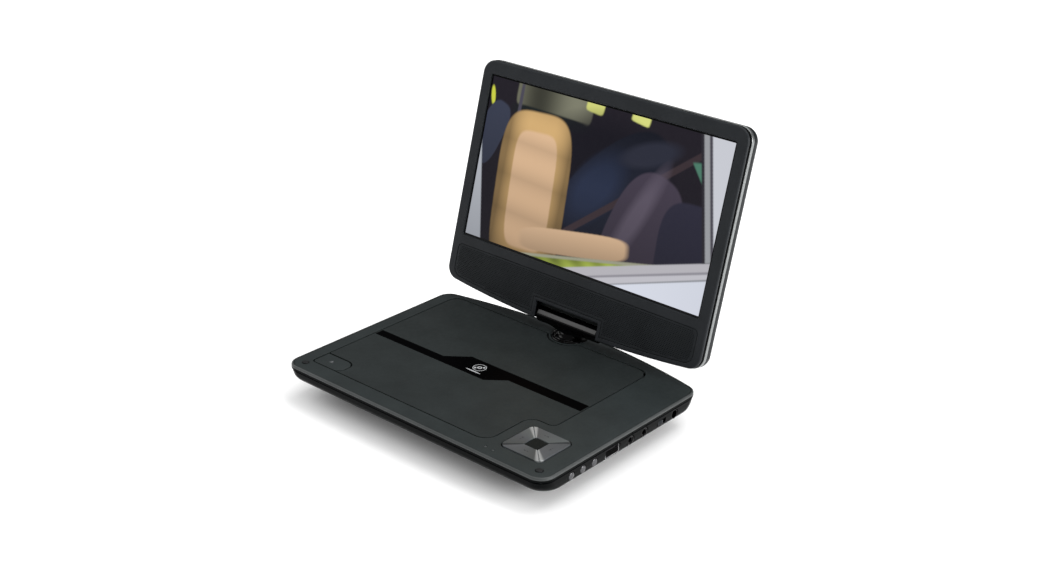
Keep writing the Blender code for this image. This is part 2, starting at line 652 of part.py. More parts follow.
def disc_drive(base):
    """The pick-up mechanism under the bay: chassis, spindle, rods, screw, sled and lens."""
    chassis_plate = rectangle(-0.028, 0.0625, DISC_Y - 0.024, DISC_Y + 0.026, 0.003, 2)
    rings = [at_z(chassis_plate, 0.0068), at_z(chassis_plate, 0.0078)]
    chassis = solid("drive_chassis", rings, steel(), base)
    post = (0.0000, 0.0600)
    for i, x in enumerate(post):
        low = (x, DISC_Y - 0.0165, 0.0072)
        high = (x + 0.0016, DISC_Y + 0.0225, MECHANISM_Z + 0.0022)
        join(chassis, box(f"tool_rod_post_{i}", low, high, None, base))
    for i, y in enumerate((DISC_Y - ROD_SPREAD, DISC_Y + ROD_SPREAD, SCREW_Y)):
        bore = [(0.0015, -0.003), (0.0015, 0.065)]
        cut(chassis, turned(f"tool_rod_bore_{i}", bore, (0.0, y, MECHANISM_Z), "X", None, base, steps=12))
    for name, y in (("front", DISC_Y - ROD_SPREAD), ("rear", DISC_Y + ROD_SPREAD)):
        rod = [(0.0012, -0.0008), (0.0012, 0.0623)]
        place = (0.0, y, MECHANISM_Z)
        turned(f"guide_rod_{name}", rod, place, "X", steel(), base, place, 12)
    screw = [(0.0010, -0.0012)]
    for i in range(10):
        start = 0.0020 + 0.0056 * i
        screw += [(0.0012, start), (0.0009, start + 0.0012), (0.0012, start + 0.0024)]
    screw.append((0.0010, 0.0618))
    place = (0.0, SCREW_Y, MECHANISM_Z)
    turned("lead_screw", screw, place, "X", steel(), base, place, 8)
    motor = rectangle(SCREW_Y - 0.0050, SCREW_Y + 0.0050, 0.0082, 0.0139, 0.0022, 3)
    rings = [at_x(motor, -0.0150), at_x(motor, -0.0016)]
    solid("sled_motor", rings, silver(), base, (-0.008, SCREW_Y, MECHANISM_Z))

    middle = (DISC_X, DISC_Y, 0.0)
    can = [(0.0105, 0.0082), (0.0105, 0.0142), (0.0099, 0.0148), (0.0014, 0.0148), (0.0014, 0.0095)]
    turned("spindle_motor", can, middle, "Z", silver(), base, middle, 20)
    hub = [(0.0010, 0.0100), (0.0010, 0.0152), (0.0150, 0.0152), (0.0150, 0.0164), (0.0142, 0.0172)]
    hub += [(0.0090, 0.0172), (0.0090, 0.0178), (0.0074, 0.0178), (0.0074, 0.0195), (0.0050, 0.0208)]
    hub.append((0.0020, 0.0208))
    turned("turntable", hub, middle, "Z", material("hub_grey", (0.08, 0.08, 0.09), 0.4), base, middle, 20)

    sled_low = (LENS_REST_X - 0.006, DISC_Y - 0.0165, 0.0090)
    sled_high = (LENS_REST_X + 0.016, DISC_Y + 0.0216, 0.0140)
    sled_middle = (LENS_REST_X, DISC_Y, MECHANISM_Z)
    sled = box("laser_sled", sled_low, sled_high, material("sled_zinc", (0.35, 0.36, 0.38), 0.4, 0.9), base,
               origin=sled_middle)
    for i, y in enumerate((DISC_Y - ROD_SPREAD, DISC_Y + ROD_SPREAD, SCREW_Y)):
        bore = [(0.0016, -0.010), (0.0016, 0.030)]
        place = (LENS_REST_X, y, MECHANISM_Z)
        cut(sled, turned(f"tool_sled_bore_{i}", bore, place, "X", None, base, steps=12))
    low, high = (LENS_REST_X - 0.0045, DISC_Y - 0.006), (LENS_REST_X + 0.0045, DISC_Y + 0.006)
    frame = rectangle(low[0], high[0], low[1], high[1], 0.0008, 2)
    rings = [at_z(frame, 0.0146), at_z(frame, 0.0159)]
    solid("lens_holder", rings, wall_black(), base, (LENS_REST_X, DISC_Y, 0.0146))
    dome = [(0.0026, 0.0162), (0.0026, 0.0164), (0.0016, 0.0168), (0.0004, 0.0169)]
    place = (LENS_REST_X, DISC_Y, 0.0)
    lens_glass = material("lens_glass", (0.3, 0.35, 0.5), 0.05)
    turned("objective_lens", dome, place, "Z", lens_glass, base, place, 16)


# Hinge


def hinge(base, swivel):
    """Turret and shaft, in the swivel's frame: z up from the base's top, y from the swivel axis."""
    seat = [(TURRET_RADIUS - 0.0002, 0.0190), (TURRET_RADIUS - 0.0002, 0.0214)]
    seat += [(SHAFT_RADIUS + 0.0004, 0.0214), (SHAFT_RADIUS + 0.0004, 0.0190)]
    place = (0.0, TURRET_Y, 0.0)
    turned("swivel_seat", seat, place, "Z", steel(), base, place, 24, loop=True)

    disc = [(TURRET_RADIUS, -0.0022), (TURRET_RADIUS, 0.0002), (TURRET_RADIUS - 0.0006, 0.0007)]
    disc += [(0.0080, 0.0007), (0.0072, 0.0030), (0.0062, 0.0040)]
    turret = turned("turret", disc, (0.0, 0.0, 0.0), "Z", wall_black(), swivel, steps=36)
    foot = rectangle(-0.0060, 0.0060, -0.0050, 0.0050, 0.002, 3)
    saddle = rectangle(-0.0130, 0.0130, -0.0046, 0.0046, 0.002, 3)
    neck = solid("tool_neck", [at_z(foot, 0.0020), at_z(saddle, AXIS_UP - 0.001)], None, swivel)
    join(turret, neck)
    barrel = [(BARREL_RADIUS - 0.0004, -BARREL_HALF), (BARREL_RADIUS, 0.0004 - BARREL_HALF)]
    barrel += [(BARREL_RADIUS, BARREL_HALF - 0.0004), (BARREL_RADIUS - 0.0004, BARREL_HALF)]
    join(turret, turned("tool_barrel", barrel, (0.0, 0.0, AXIS_UP), "X", None, swivel, steps=28))
    for side in (-1, 1):
        ends = sorted((side * (BARREL_HALF + 0.002), side * 0.0105))
        bore = [(PIN_RADIUS + GAP, ends[0]), (PIN_RADIUS + GAP, ends[1])]
        cut(turret, turned(f"tool_pin_bore_{side}", bore, (0.0, 0.0, AXIS_UP), "X", None, swivel, steps=16))
    bore = [(SHAFT_RADIUS + GAP, -0.010), (SHAFT_RADIUS + GAP, 0.0042)]
    cut(turret, turned("tool_shaft_bore", bore, (0.0, 0.0, 0.0), "Z", None, swivel, steps=20))

    shaft = [(0.0070, -0.0100), (0.0070, -0.0056), (SHAFT_RADIUS, -0.0056), (SHAFT_RADIUS, 0.0038)]
    shaft += [(0.0026, 0.0038), (0.0026, -0.0100)]
    turned("swivel_shaft", shaft, (0.0, 0.0, 0.0), "Z", steel(), swivel, steps=20, loop=True)


# Lid


def lid_shells(lid):
    frame_levels = (
        (LID_FRONT + 0.0018, 0.0042, 0.006),
        (LID_FRONT + 0.0041, 0.0042, 0.006),
        (LID_FRONT + 0.0041, 0.0026, 0.0075),
        (LID_FRONT + 0.0016, 0.0026, 0.0075),
        (LID_FRONT + 0.0016, 0.0004, LID_CORNER),
        (LID_FRONT + 0.0005, 0.0004, LID_CORNER),
        (LID_FRONT, 0.0009, 0.009),
    )
    rings = [at_y(lid_outline(inset, corner), y) for y, inset, corner in frame_levels]
    frame = solid("front_frame", rings, case_black(), lid)
    window = rectangle(-SCREEN_HALF, SCREEN_HALF, SCREEN_LOW, SCREEN_HIGH, 0.0012, 2)
    cut(frame, solid("tool_window", [at_y(window, -0.010), at_y(window, 0.002)], None, lid))
    recess = offset(grille_outline(), GAP)
    rings = [at_y(recess, -0.010), at_y(recess, LID_FRONT + 0.0009)]
    cut(frame, solid("tool_grille_recess", rings, None, lid))
    for side in (-1, 1):
        middle = side * SPEAKER_X
        mouth = rectangle(middle - 0.017, middle + 0.017, SPEAKER_Z - 0.0075, SPEAKER_Z + 0.0075, 0.006)
        cut(frame, solid(f"tool_mouth_{side}", [at_y(mouth, -0.010), at_y(mouth, 0.0)], None, lid))
        pin_hole = [(PIN_RADIUS + GAP, side * 0.020 - 0.012), (PIN_RADIUS + GAP, side * 0.020 + 0.012)]
        place = (side * 0.012, 0.0, 0.0)
        for shell in ("frame", "cover"):
            tool = turned(f"tool_{shell}_pin_{side}", pin_hole, place, "X", None, lid, steps=16)
            if shell == "frame":
                cut(frame, tool)
            else:
                as_tool(tool)

    band_levels = (
        (LID_FRONT + 0.0019, 0.0023, 0.0075),
        (LID_FRONT + 0.0019, 0.0003, LID_CORNER),
        (LID_FRONT + 0.0039, 0.0001, LID_CORNER),
        (LID_FRONT + 0.0039, 0.0023, 0.0075),
    )
    rings = [at_y(lid_outline(inset, corner), y) for y, inset, corner in band_levels]
    solid("lid_trim_band", rings, gloss_black(), lid, loop=True)

    cover_levels = (
        (LID_BACK - 0.0018, 0.0065, 0.0055),
        (LID_BACK - 0.0030, 0.0036, 0.0065),
        (LID_FRONT + 0.0042, 0.0020, 0.008),
        (LID_FRONT + 0.0042, 0.0, LID_CORNER),
        (LID_BACK - 0.0055, 0.0001, LID_CORNER),
        (LID_BACK - 0.0020, 0.0014, 0.009),
        (LID_BACK - 0.0005, 0.0038, 0.0075),
        (LID_BACK, 0.0060, 0.006),
    )
    rings = [at_y(lid_outline(inset, corner), y) for y, inset, corner in cover_levels]
    cover = solid("rear_cover", rings, case_black(), lid)
    for side in (-1, 1):
        cut(cover, bpy.data.objects[f"tool_cover_pin_{side}"])
        sink = [(0.0029, LID_BACK - 0.004), (0.0029, LID_BACK + 0.002)]
        place = (side * LID_SCREW_X, 0.0, LID_SCREW_Z)
        cut(cover, turned(f"tool_lid_sink_{side}", sink, place, "Y", None, lid, steps=14))


def grille_outline():
    """The speaker cloth's panel, below the screen and round the hinge notch."""

    def low(x):
        return LID_BOTTOM + 0.0040 + LID_BOW * (x / LID_BOW_X) ** 2

    notch = NOTCH_HALF + 0.0034
    right = [notch + (GRILLE_HALF - 0.014 - notch) * i / 4 for i in range(5)]
    corners = [(x, low(x), 0.0) for x in right]
    corners += [
        (GRILLE_HALF, low(GRILLE_HALF), 0.006),
        (GRILLE_HALF, GRILLE_TOP, 0.0035),
        (-GRILLE_HALF, GRILLE_TOP, 0.0035),
        (-GRILLE_HALF, low(GRILLE_HALF), 0.006),
    ]
    corners += [(-x, low(x), 0.0) for x in reversed(right)]
    corners += [(-notch, NOTCH_TOP + 0.0034, 0.001), (notch, NOTCH_TOP + 0.0034, 0.001)]
    return rounded(corners)


def lid_front(lid):
    """Grille, glass and panel."""
    outline = grille_outline()
    rings = [at_y(outline, LID_FRONT + 0.0006), at_y(outline, LID_FRONT)]
    solid("speaker_grille", rings, case_black(), lid)
    glass = rectangle(-SCREEN_HALF + GAP, SCREEN_HALF - GAP, SCREEN_LOW + GAP, SCREEN_HIGH - GAP, 0.001, 2)
    rings = [at_y(glass, LID_FRONT + 0.0007), at_y(glass, LID_FRONT + 0.0017)]
    solid("screen_glass", rings, gloss_black(), lid)
    panel = rectangle(-0.1030, 0.1030, SCREEN_LOW - 0.0030, SCREEN_HIGH + 0.0030, 0.001, 2)
    rings = [at_y(panel, LID_FRONT + 0.0021), at_y(panel, LID_FRONT + 0.0055)]
    solid("lcd_panel", rings, steel(), lid)


def lid_inside(lid):
    for name, side in (("left", -1), ("right", 1)):
        middle = side * SPEAKER_X
        rings = []
        for y, grow in ((0.0022, 0.0), (0.0050, -0.0010), (0.0058, -0.0030), (0.0095, -0.0040)):
            shape = rectangle(middle - 0.020, middle + 0.020, SPEAKER_Z - 0.01, SPEAKER_Z + 0.01, 0.009, 4)
            rings.append(at_y(offset(shape, grow), LID_FRONT + y))
        solid(f"speaker_{name}", rings, rubber(), lid, (middle, 0.0, SPEAKER_Z))
        arm = rectangle(0.0312, 0.0410, 0.0004, 0.0280, 0.001, 2)
        arm = [Vector((side * point.x, point.y)) for point in arm]
        plate = solid(f"hinge_arm_{name}", [at_y(arm, -0.0022), at_y(arm, 0.0018)], steel(), lid)
        ends = sorted((side * 0.0120, side * 0.0400))
        pin = [(PIN_RADIUS, ends[0]), (PIN_RADIUS, ends[1])]
        join(plate, turned(f"tool_pin_{name}", pin, (0.0, 0.0, 0.0), "X", None, lid, steps=16))
        screw = [(0.0014, -0.0012), (0.0014, 0.0052), (0.0026, 0.0060), (0.0026, 0.0068), (0.0020, 0.0072)]
        place = (side * LID_SCREW_X, 0.0, LID_SCREW_Z)
        turned(f"lid_screw_{name}", screw, place, "Y", steel(), lid, place, 14)
    board = rectangle(-0.055, 0.055, 0.050, 0.125, 0.002, 2)
    solid("display_board", [at_y(board, 0.0005), at_y(board, 0.0017)], circuit_green(), lid)


def main():
    clear_scene()
    base = empty("base_origin", (0.0, FRONT_Y, 0.0))
    swivel = empty("swivel_pivot", (0.0, TURRET_Y, BASE_TOP), base)
    lid = empty("tilt_pivot", (0.0, 0.0, AXIS_UP), swivel, (-TILT_REST, 0.0, 0.0))
    lower_case(base)
    feet(base)
    case_screws(base)
    upper_case(base)
    top_trim(base)
    drive_deck(base)
    disc_door(base)
    open_button(base)
    pad_keys(base)
    side_keys(base)
    ports(base)
    power_switch(base)
    electronics(base)
    disc_drive(base)
    hinge(base, swivel)
    lid_shells(lid)
    lid_front(lid)
    lid_inside(lid)


main()
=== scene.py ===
import json
import math

import bmesh
import bpy
import numpy as np
from mathutils import Matrix, Vector


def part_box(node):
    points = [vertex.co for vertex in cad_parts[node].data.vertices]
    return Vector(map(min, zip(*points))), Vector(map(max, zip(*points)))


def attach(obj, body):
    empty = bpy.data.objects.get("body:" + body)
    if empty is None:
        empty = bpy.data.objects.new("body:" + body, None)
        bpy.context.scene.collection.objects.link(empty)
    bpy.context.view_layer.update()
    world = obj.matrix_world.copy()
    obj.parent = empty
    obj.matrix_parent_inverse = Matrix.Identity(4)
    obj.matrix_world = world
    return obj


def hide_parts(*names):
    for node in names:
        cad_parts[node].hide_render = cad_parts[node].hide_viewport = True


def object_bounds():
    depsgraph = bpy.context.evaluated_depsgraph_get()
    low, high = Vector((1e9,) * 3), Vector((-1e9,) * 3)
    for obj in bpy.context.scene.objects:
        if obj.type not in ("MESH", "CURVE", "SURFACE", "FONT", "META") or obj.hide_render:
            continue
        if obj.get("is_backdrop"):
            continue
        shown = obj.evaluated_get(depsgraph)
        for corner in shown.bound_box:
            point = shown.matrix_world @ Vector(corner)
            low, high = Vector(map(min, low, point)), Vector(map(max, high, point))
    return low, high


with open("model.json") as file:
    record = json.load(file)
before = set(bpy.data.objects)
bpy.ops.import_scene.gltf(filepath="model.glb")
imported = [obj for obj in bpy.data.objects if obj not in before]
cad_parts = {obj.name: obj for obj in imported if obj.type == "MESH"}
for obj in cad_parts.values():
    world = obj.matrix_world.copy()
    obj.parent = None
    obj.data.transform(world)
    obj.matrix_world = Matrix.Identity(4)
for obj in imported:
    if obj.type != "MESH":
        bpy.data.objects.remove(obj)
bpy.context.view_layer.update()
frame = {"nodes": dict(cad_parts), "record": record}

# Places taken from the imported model
JOINTS = {joint["name"]: joint for joint in frame["record"]["behaviour"]["joints"]}
SWIVEL = Vector(JOINTS["lid_swivel"]["pos_m"])
TILT = Vector(JOINTS["lid_tilt"]["pos_m"])
LEAN = math.radians(JOINTS["lid_tilt"]["range_deg"][1] - 90)
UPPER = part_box("upper_case")
TOP = UPPER[1][2]
FRONT = UPPER[0][1]
HALF = UPPER[1][0]
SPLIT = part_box("lower_case")[1][2]

# x across, y from the base's front edge, z up from the feet
BASE = Matrix.Translation((0.0, FRONT, 0.0))
# x across, y up the lid from the tilt axis, z out of the screen
LID = (Matrix.Translation(TILT) @ Matrix.Rotation(-LEAN, 4, "X")
       @ Matrix.Rotation(math.pi / 2, 4, "X"))
# x along the base's right wall to the rear, y up, z out of the wall
WALL_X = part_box("usb_socket")[1][0] + 0.0003
WALL = Matrix(((0, 0, 1, WALL_X), (1, 0, 0, FRONT), (0, 1, 0, 0), (0, 0, 0, 1)))

SEAM = 0.00035
REAR_Y = 0.1655
REAR_BOW = 0.0111
REAR_BOW_X = 0.098
TURRET_Y = SWIVEL.y - FRONT
WELL_RADIUS = 0.0129
RIM_RADIUS = 0.0141
DISC_X, DISC_Y = -0.013, 0.079
PICKUP_X = 0.011
BAY_RADIUS = 0.0625


# ---------------------------------------------------------------- outlines


def mm(*rows):
    """Rows of millimetres as rows of metres."""
    return [tuple(value / 1000 for value in row) for row in rows]


def arc(middle, radius, first, last, steps):
    angles = [first + (last - first) * i / steps for i in range(steps + 1)]
    return [Vector((middle[0] + radius * math.cos(a), middle[1] + radius * math.sin(a))) for a in angles]


def rounded(corners, steps=10):
    """Outline through corners (x, y, radius), each rounded by an arc of its radius."""
    points = []
    for i, (x, y, radius) in enumerate(corners):
        here = Vector((x, y))
        if radius <= 0:
            points.append(here)
            continue
        before = (Vector(corners[i - 1][:2]) - here).normalized()
        after = (Vector(corners[(i + 1) % len(corners)][:2]) - here).normalized()
        half = before.angle(after) / 2
        middle = here + (before + after).normalized() * radius / math.sin(half)
        start = here + before * radius / math.tan(half) - middle
        finish = here + after * radius / math.tan(half) - middle
        first = math.atan2(start.y, start.x)
        sweep = (math.atan2(finish.y, finish.x) - first + math.pi) % math.tau - math.pi
        points += arc(middle, radius, first, first + sweep, steps)
    return points


def rectangle(x_low, x_high, y_low, y_high, radius=0.0, steps=8):
    places = ((x_low, y_low), (x_high, y_low), (x_high, y_high), (x_low, y_high))
    return rounded([(x, y, radius) for x, y in places], steps)


def circle(x, y, radius, steps=48):
    return arc((x, y), radius, 0.0, math.tau * (1 - 1 / steps), steps - 1)


def quarter(steps, first=0):
    """(cos, sin) at even steps over a quarter turn."""
    return [(math.cos(math.pi / 2 * i / steps), math.sin(math.pi / 2 * i / steps)) for i in range(first, steps + 1)]


def offset(points, distance):
    moved = []
    for i, here in enumerate(points):
        before = (here - points[i - 1]).normalized()
        after = (points[(i + 1) % len(points)] - here).normalized()
        normal = Vector((before.y + after.y, -before.x - after.x)).normalized()
        moved.append(here + normal * distance / normal.dot(Vector((after.y, -after.x))))
    return moved


def base_outline(side, front, rear, corner, turret=0.0):
    """Base plan. turret > 0 bulges round the turret at that radius, turret < 0 is notched by it."""
    half = HALF - side

    def rear_y(x):
        return REAR_Y - rear - REAR_BOW * (x / REAR_BOW_X) ** 2

    reach = half - 0.018
    corners = [(-half, front, corner), (half, front, corner), (half, rear_y(half), corner)]
    if turret:
        radius = abs(turret)
        rise = rear_y(0.011) - TURRET_Y
        across = math.sqrt(radius ** 2 - rise ** 2)
        angle = math.atan2(rise, across)
        bow = [reach + (across - reach) * i / 10 for i in range(11)]
        corners += [(x, rear_y(x), 0.0) for x in bow[:-1]]
        last = math.pi - angle if turret > 0 else -math.pi - angle
        corners += [(p.x, p.y, 0.0) for p in arc((0.0, TURRET_Y), radius, angle, last, 40)]
        corners += [(-x, rear_y(x), 0.0) for x in reversed(bow[:-1])]
    else:
        bow = [reach * (1 - 2 * i / 24) for i in range(25)]
        corners += [(x, rear_y(x), 0.0) for x in bow]
    corners.append((-half, rear_y(half), corner))
    return rounded(corners, 12)


DOOR_LEFT, DOOR_RIGHT = -0.097, 0.0718
DOOR_FRONT, DOOR_REAR = 0.0135, 0.1496
DOOR_STEP_X, DOOR_STEP_Y = 0.0535, 0.0535
DOOR_PIVOT = (0.149, 0.0228)
KEY = (-0.0966, -0.0727, 0.0138, 0.0281)


def door_outline(grow=0.0, rear_grow=0.0, key_notch=True):
    rear = DOOR_REAR + rear_grow
    ease = 0.0 if rear_grow else 0.0012
    notch = RIM_RADIUS + 0.0004 + 2 * (SEAM - grow)
    across = math.asin((TURRET_Y - rear) / notch)
    turret_arc = arc((0.0, TURRET_Y), notch, -across, across - math.pi, 28)
    _, key_right, _, key_rear = KEY
    if key_notch:
        corners = [(key_right - 0.0031, DOOR_FRONT - grow, 0.0)]
    else:
        corners = [(DOOR_LEFT - grow, DOOR_FRONT - grow, 0.003)]
    corners += [
        (DOOR_STEP_X + grow, DOOR_FRONT - grow, 0.009 + grow),
        (DOOR_STEP_X + grow, DOOR_STEP_Y - grow, 0.008 - grow),
        (DOOR_RIGHT + grow, DOOR_STEP_Y - grow, 0.0045 + grow),
        (DOOR_RIGHT + grow, rear, 0.008 + grow + ease),
    ]
    corners += [(point.x, point.y, 0.0) for point in turret_arc]
    corners.append((DOOR_LEFT - grow, rear, 0.007 + grow + ease))
    if key_notch:
        corners += [
            (DOOR_LEFT, key_rear + 2 * SEAM, 0.001),
            (key_right + SEAM, key_rear + 2 * SEAM, 0.0065),
            (key_right + SEAM, DOOR_FRONT + 0.0036, 0.003),
        ]
    return rounded(corners)


LID_HALF, LID_HIGH, LID_LOW = 0.1079, 0.15824, -0.00346
LID_BOW, LID_BOW_X = 0.0055, 0.098
NOTCH_HALF, NOTCH_HIGH = 0.0258, 0.00844
LID_SCREW_X, LID_SCREW_Y = 0.088, 0.018
SCREEN_HALF, SCREEN_LOW, SCREEN_HIGH = 0.0996, 0.0354, 0.1484


def notched(half, low_y, high, inset, reach, radii, steps):
    """Plan with a bowed lower edge and the hinge notch, inset clear of the notch. radii: low, high, notch."""

    def low(x):
        return low_y + LID_BOW * (x / LID_BOW_X) ** 2

    notch = NOTCH_HALF + inset
    right = [notch + (reach - notch) * i / 12 for i in range(13)]
    corners = [(x, low(x), 0.0) for x in right]
    corners += [(half, low(half), radii[0]), (half, high, radii[1])]
    corners += [(-half, high, radii[1]), (-half, low(half), radii[0])]
    corners += [(-x, low(x), 0.0) for x in reversed(right)]
    corners += [(side * notch, NOTCH_HIGH + inset, radii[2]) for side in (-1, 1)]
    return rounded(corners, steps)


def lid_outline(inset, corner):
    half = LID_HALF - inset
    return notched(half, LID_LOW + inset, LID_HIGH - inset, inset, half - 0.017, (corner, corner, 0.0008), 12)


def grille_outline(shrink=0.0):
    half = 0.1012 - shrink
    return notched(half, LID_LOW + 0.0040 + shrink, 0.0285 - shrink, 0.0034 + shrink, half - 0.014,
                   (0.006, 0.0035, 0.001), 10)


# ---------------------------------------------------------------- meshes


def fill(mesh, loops):
    edges = []
    for loop in loops:
        for i, vert in enumerate(loop):
            pair = (vert, loop[i - 1])
            edges.append(mesh.edges.get(pair) or mesh.edges.new(pair))
    bmesh.ops.triangle_fill(mesh, use_beauty=True, edges=edges)


def skin(mesh, rows):
    for low, high in zip(rows, rows[1:]):
        for i in range(len(low)):
            j = (i + 1) % len(low)
            mesh.faces.new((low[i], low[j], high[j], high[i]))


def made(name, mesh, place, sharp=35.0):
    """Object from a finished bmesh, moved by the matrix place."""
    bmesh.ops.recalc_face_normals(mesh, faces=mesh.faces)
    mesh.transform(place)
    data = bpy.data.meshes.new(name)
    mesh.to_mesh(data)
    mesh.free()
    data.shade_smooth()
    data.set_sharp_from_angle(angle=math.radians(sharp))
    obj = bpy.data.objects.new(name, data)
    bpy.context.scene.collection.objects.link(obj)
    weigh = obj.modifiers.new("weigh", "WEIGHTED_NORMAL")
    weigh.keep_sharp = True
    weigh.weight = 90
    return obj


def panel(name, place, rings, holes=(), pockets=(), sharp=35.0):
    """Plate whose rings run from its underside round the outside to its top face.

    Holes are rings from the top down to the underside. Pockets are the same and end in a floor.
    """
    mesh = bmesh.new()

    def rows_of(levels):
        rows = [[mesh.verts.new((p[0], p[1], z)) for p in outline] for outline, z in levels]
        skin(mesh, rows)
        return rows

    outer = rows_of(rings)
    cut = [rows_of(levels) for levels in holes]
    sunk = [rows_of(levels) for levels in pockets]
    fill(mesh, [outer[-1]] + [rows[0] for rows in cut + sunk])
    fill(mesh, [outer[0]] + [rows[-1] for rows in cut])
    for rows in sunk:
        fill(mesh, [rows[-1]])
    return made(name, mesh, place, sharp)


def band(name, place, rings, sharp=35.0):
    """Body whose rings close on themselves, such as a rim."""
    mesh = bmesh.new()
    rows = [[mesh.verts.new((p[0], p[1], z)) for p in outline] for outline, z in rings]
    skin(mesh, rows + rows[:1])
    return made(name, mesh, place, sharp)


def turned(name, place, profile, steps=48, loop=False, sharp=35.0):
    """Body turned about the z axis of place, from (radius, z) points."""
    rings = [(circle(0.0, 0.0, max(radius, 0.00005), steps), z) for radius, z in profile]
    return band(name, place, rings, sharp) if loop else panel(name, place, rings, sharp=sharp)


def lip(outline, top, radius, low, steps=4):
    """Rings of a hole: a rounded lip of radius at top, then straight down to low."""
    rings = [(offset(outline, radius * (1 - s)), top - radius * (1 - c)) for c, s in quarter(steps)]
    return rings + [(outline, low)]


def edge(outline, top, radius, low, steps=4):
    """Rings of an outside: up from low, then a rounded edge of radius up to top."""
    rings = [(outline, low)]
    return rings + [(offset(outline, -radius * (1 - c)), top - radius * (1 - s)) for c, s in quarter(steps)]


def at(place, x, y, z=0.0):
    return place @ Matrix.Translation((x, y, z))


def subtract(obj, tools):
    """Cuts tools out of obj and applies the result."""
    obj.modifiers.clear()
    for tool in tools:
        cut = obj.modifiers.new(tool.name, "BOOLEAN")
        cut.operation = "DIFFERENCE"
        cut.solver = "EXACT"
        cut.object = tool
    bpy.context.view_layer.update()
    graph = bpy.context.evaluated_depsgraph_get()
    data = bpy.data.meshes.new_from_object(obj.evaluated_get(graph))
    obj.modifiers.clear()
    obj.data = data
    for tool in tools:
        bpy.data.objects.remove(tool)
    data.shade_smooth()
    data.set_sharp_from_angle(angle=math.radians(30))
    weigh = obj.modifiers.new("weigh", "WEIGHTED_NORMAL")
    weigh.keep_sharp = True


def smooth_levels(levels, per=4):
    """More rows between rows of numbers, on a Catmull-Rom curve through them."""
    table = np.array(levels)
    padded = np.vstack([2 * table[0] - table[1], table, 2 * table[-1] - table[-2]])
    rows = []
    for i in range(1, len(padded) - 2):
        a, b, c, d = padded[i - 1:i + 3]
        for k in range(per):
            t = k / per
            rows.append(0.5 * (2 * b + (c - a) * t + (2 * a - 5 * b + 4 * c - d) * t ** 2
                               + (3 * b - a - 3 * c + d) * t ** 3))
    rows.append(table[-1])
    return rows


# ---------------------------------------------------------------- materials


def preset(node, **values):
    """Sets inputs by name, with _ for a space, and returns the node."""
    for name, value in values.items():
        node.inputs[name.replace("_", " ")].default_value = value
    return node


def shader(name, color, roughness, metallic=0.0, coat=0.0, specular=0.5):
    mat = bpy.data.materials.new(name)
    mat.use_nodes = True
    tree = mat.node_tree
    main = preset(tree.nodes["Principled BSDF"], Base_Color=(*color, 1.0), Roughness=roughness, Metallic=metallic,
                  Coat_Weight=coat, Coat_Roughness=0.06, Specular_IOR_Level=specular)
    return mat, tree, main


def noise(tree, scale, detail=3.0, stretch=(1.0, 1.0, 1.0)):
    where = tree.nodes.new("ShaderNodeTexCoord")
    shape = preset(tree.nodes.new("ShaderNodeMapping"), Scale=stretch)
    grain = preset(tree.nodes.new("ShaderNodeTexNoise"), Scale=scale, Detail=detail)
    tree.links.new(where.outputs["Object"], shape.inputs["Vector"])
    tree.links.new(shape.outputs["Vector"], grain.inputs["Vector"])
    return grain.outputs["Fac"]


def spread(tree, value, low, high):
    """Noise value stretched to run from low to high."""
    between = preset(tree.nodes.new("ShaderNodeMapRange"), From_Min=0.3, From_Max=0.7, To_Min=low, To_Max=high)
    tree.links.new(value, between.inputs["Value"])
    return between.outputs["Result"]


def tint(tree, main, value, dark, light):
    mix = tree.nodes.new("ShaderNodeMix")
    mix.data_type = "RGBA"
    preset(mix, A=(*dark, 1.0), B=(*light, 1.0))
    tree.links.new(value, mix.inputs["Factor"])
    tree.links.new(mix.outputs["Result"], main.inputs["Base Color"])


def bump(tree, main, value, height, strength=0.5):
    relief = preset(tree.nodes.new("ShaderNodeBump"), Strength=strength, Distance=height)
    tree.links.new(value, relief.inputs["Height"])
    tree.links.new(relief.outputs["Normal"], main.inputs["Normal"])


def moulded(name, color, roughness, grain=2600.0, height=0.00004, specular=0.5, coat=0.0):
    """Moulded plastic: spark-eroded grain, cloudy gloss and a slight drift of tone."""
    mat, tree, main = shader(name, color, roughness, 0.0, coat, specular)
    drift = spread(tree, noise(tree, 45.0, 4.0), 0.0, 1.0)
    tint(tree, main, drift, [c * (1 - 0.12) for c in color], [c * (1 + 0.12) for c in color])
    gloss = spread(tree, noise(tree, 260.0, 5.0), roughness * 0.88, roughness * 1.14)
    tree.links.new(gloss, main.inputs["Roughness"])
    bump(tree, main, noise(tree, grain, 2.0), height)
    return mat


def brushed(name, color, roughness, stretch=(1.0, 40.0, 40.0), metallic=1.0):
    """Drawn metal: long fine lines in roughness and height."""
    mat, tree, main = shader(name, color, roughness, metallic)
    lines = noise(tree, 90.0, 6.0, stretch)
    tree.links.new(spread(tree, lines, roughness * 0.7, roughness * 1.4), main.inputs["Roughness"])
    tint(tree, main, lines, [c * 0.85 for c in color], [min(1.0, c * 1.1) for c in color])
    bump(tree, main, lines, 0.00001, 0.3)
    return mat


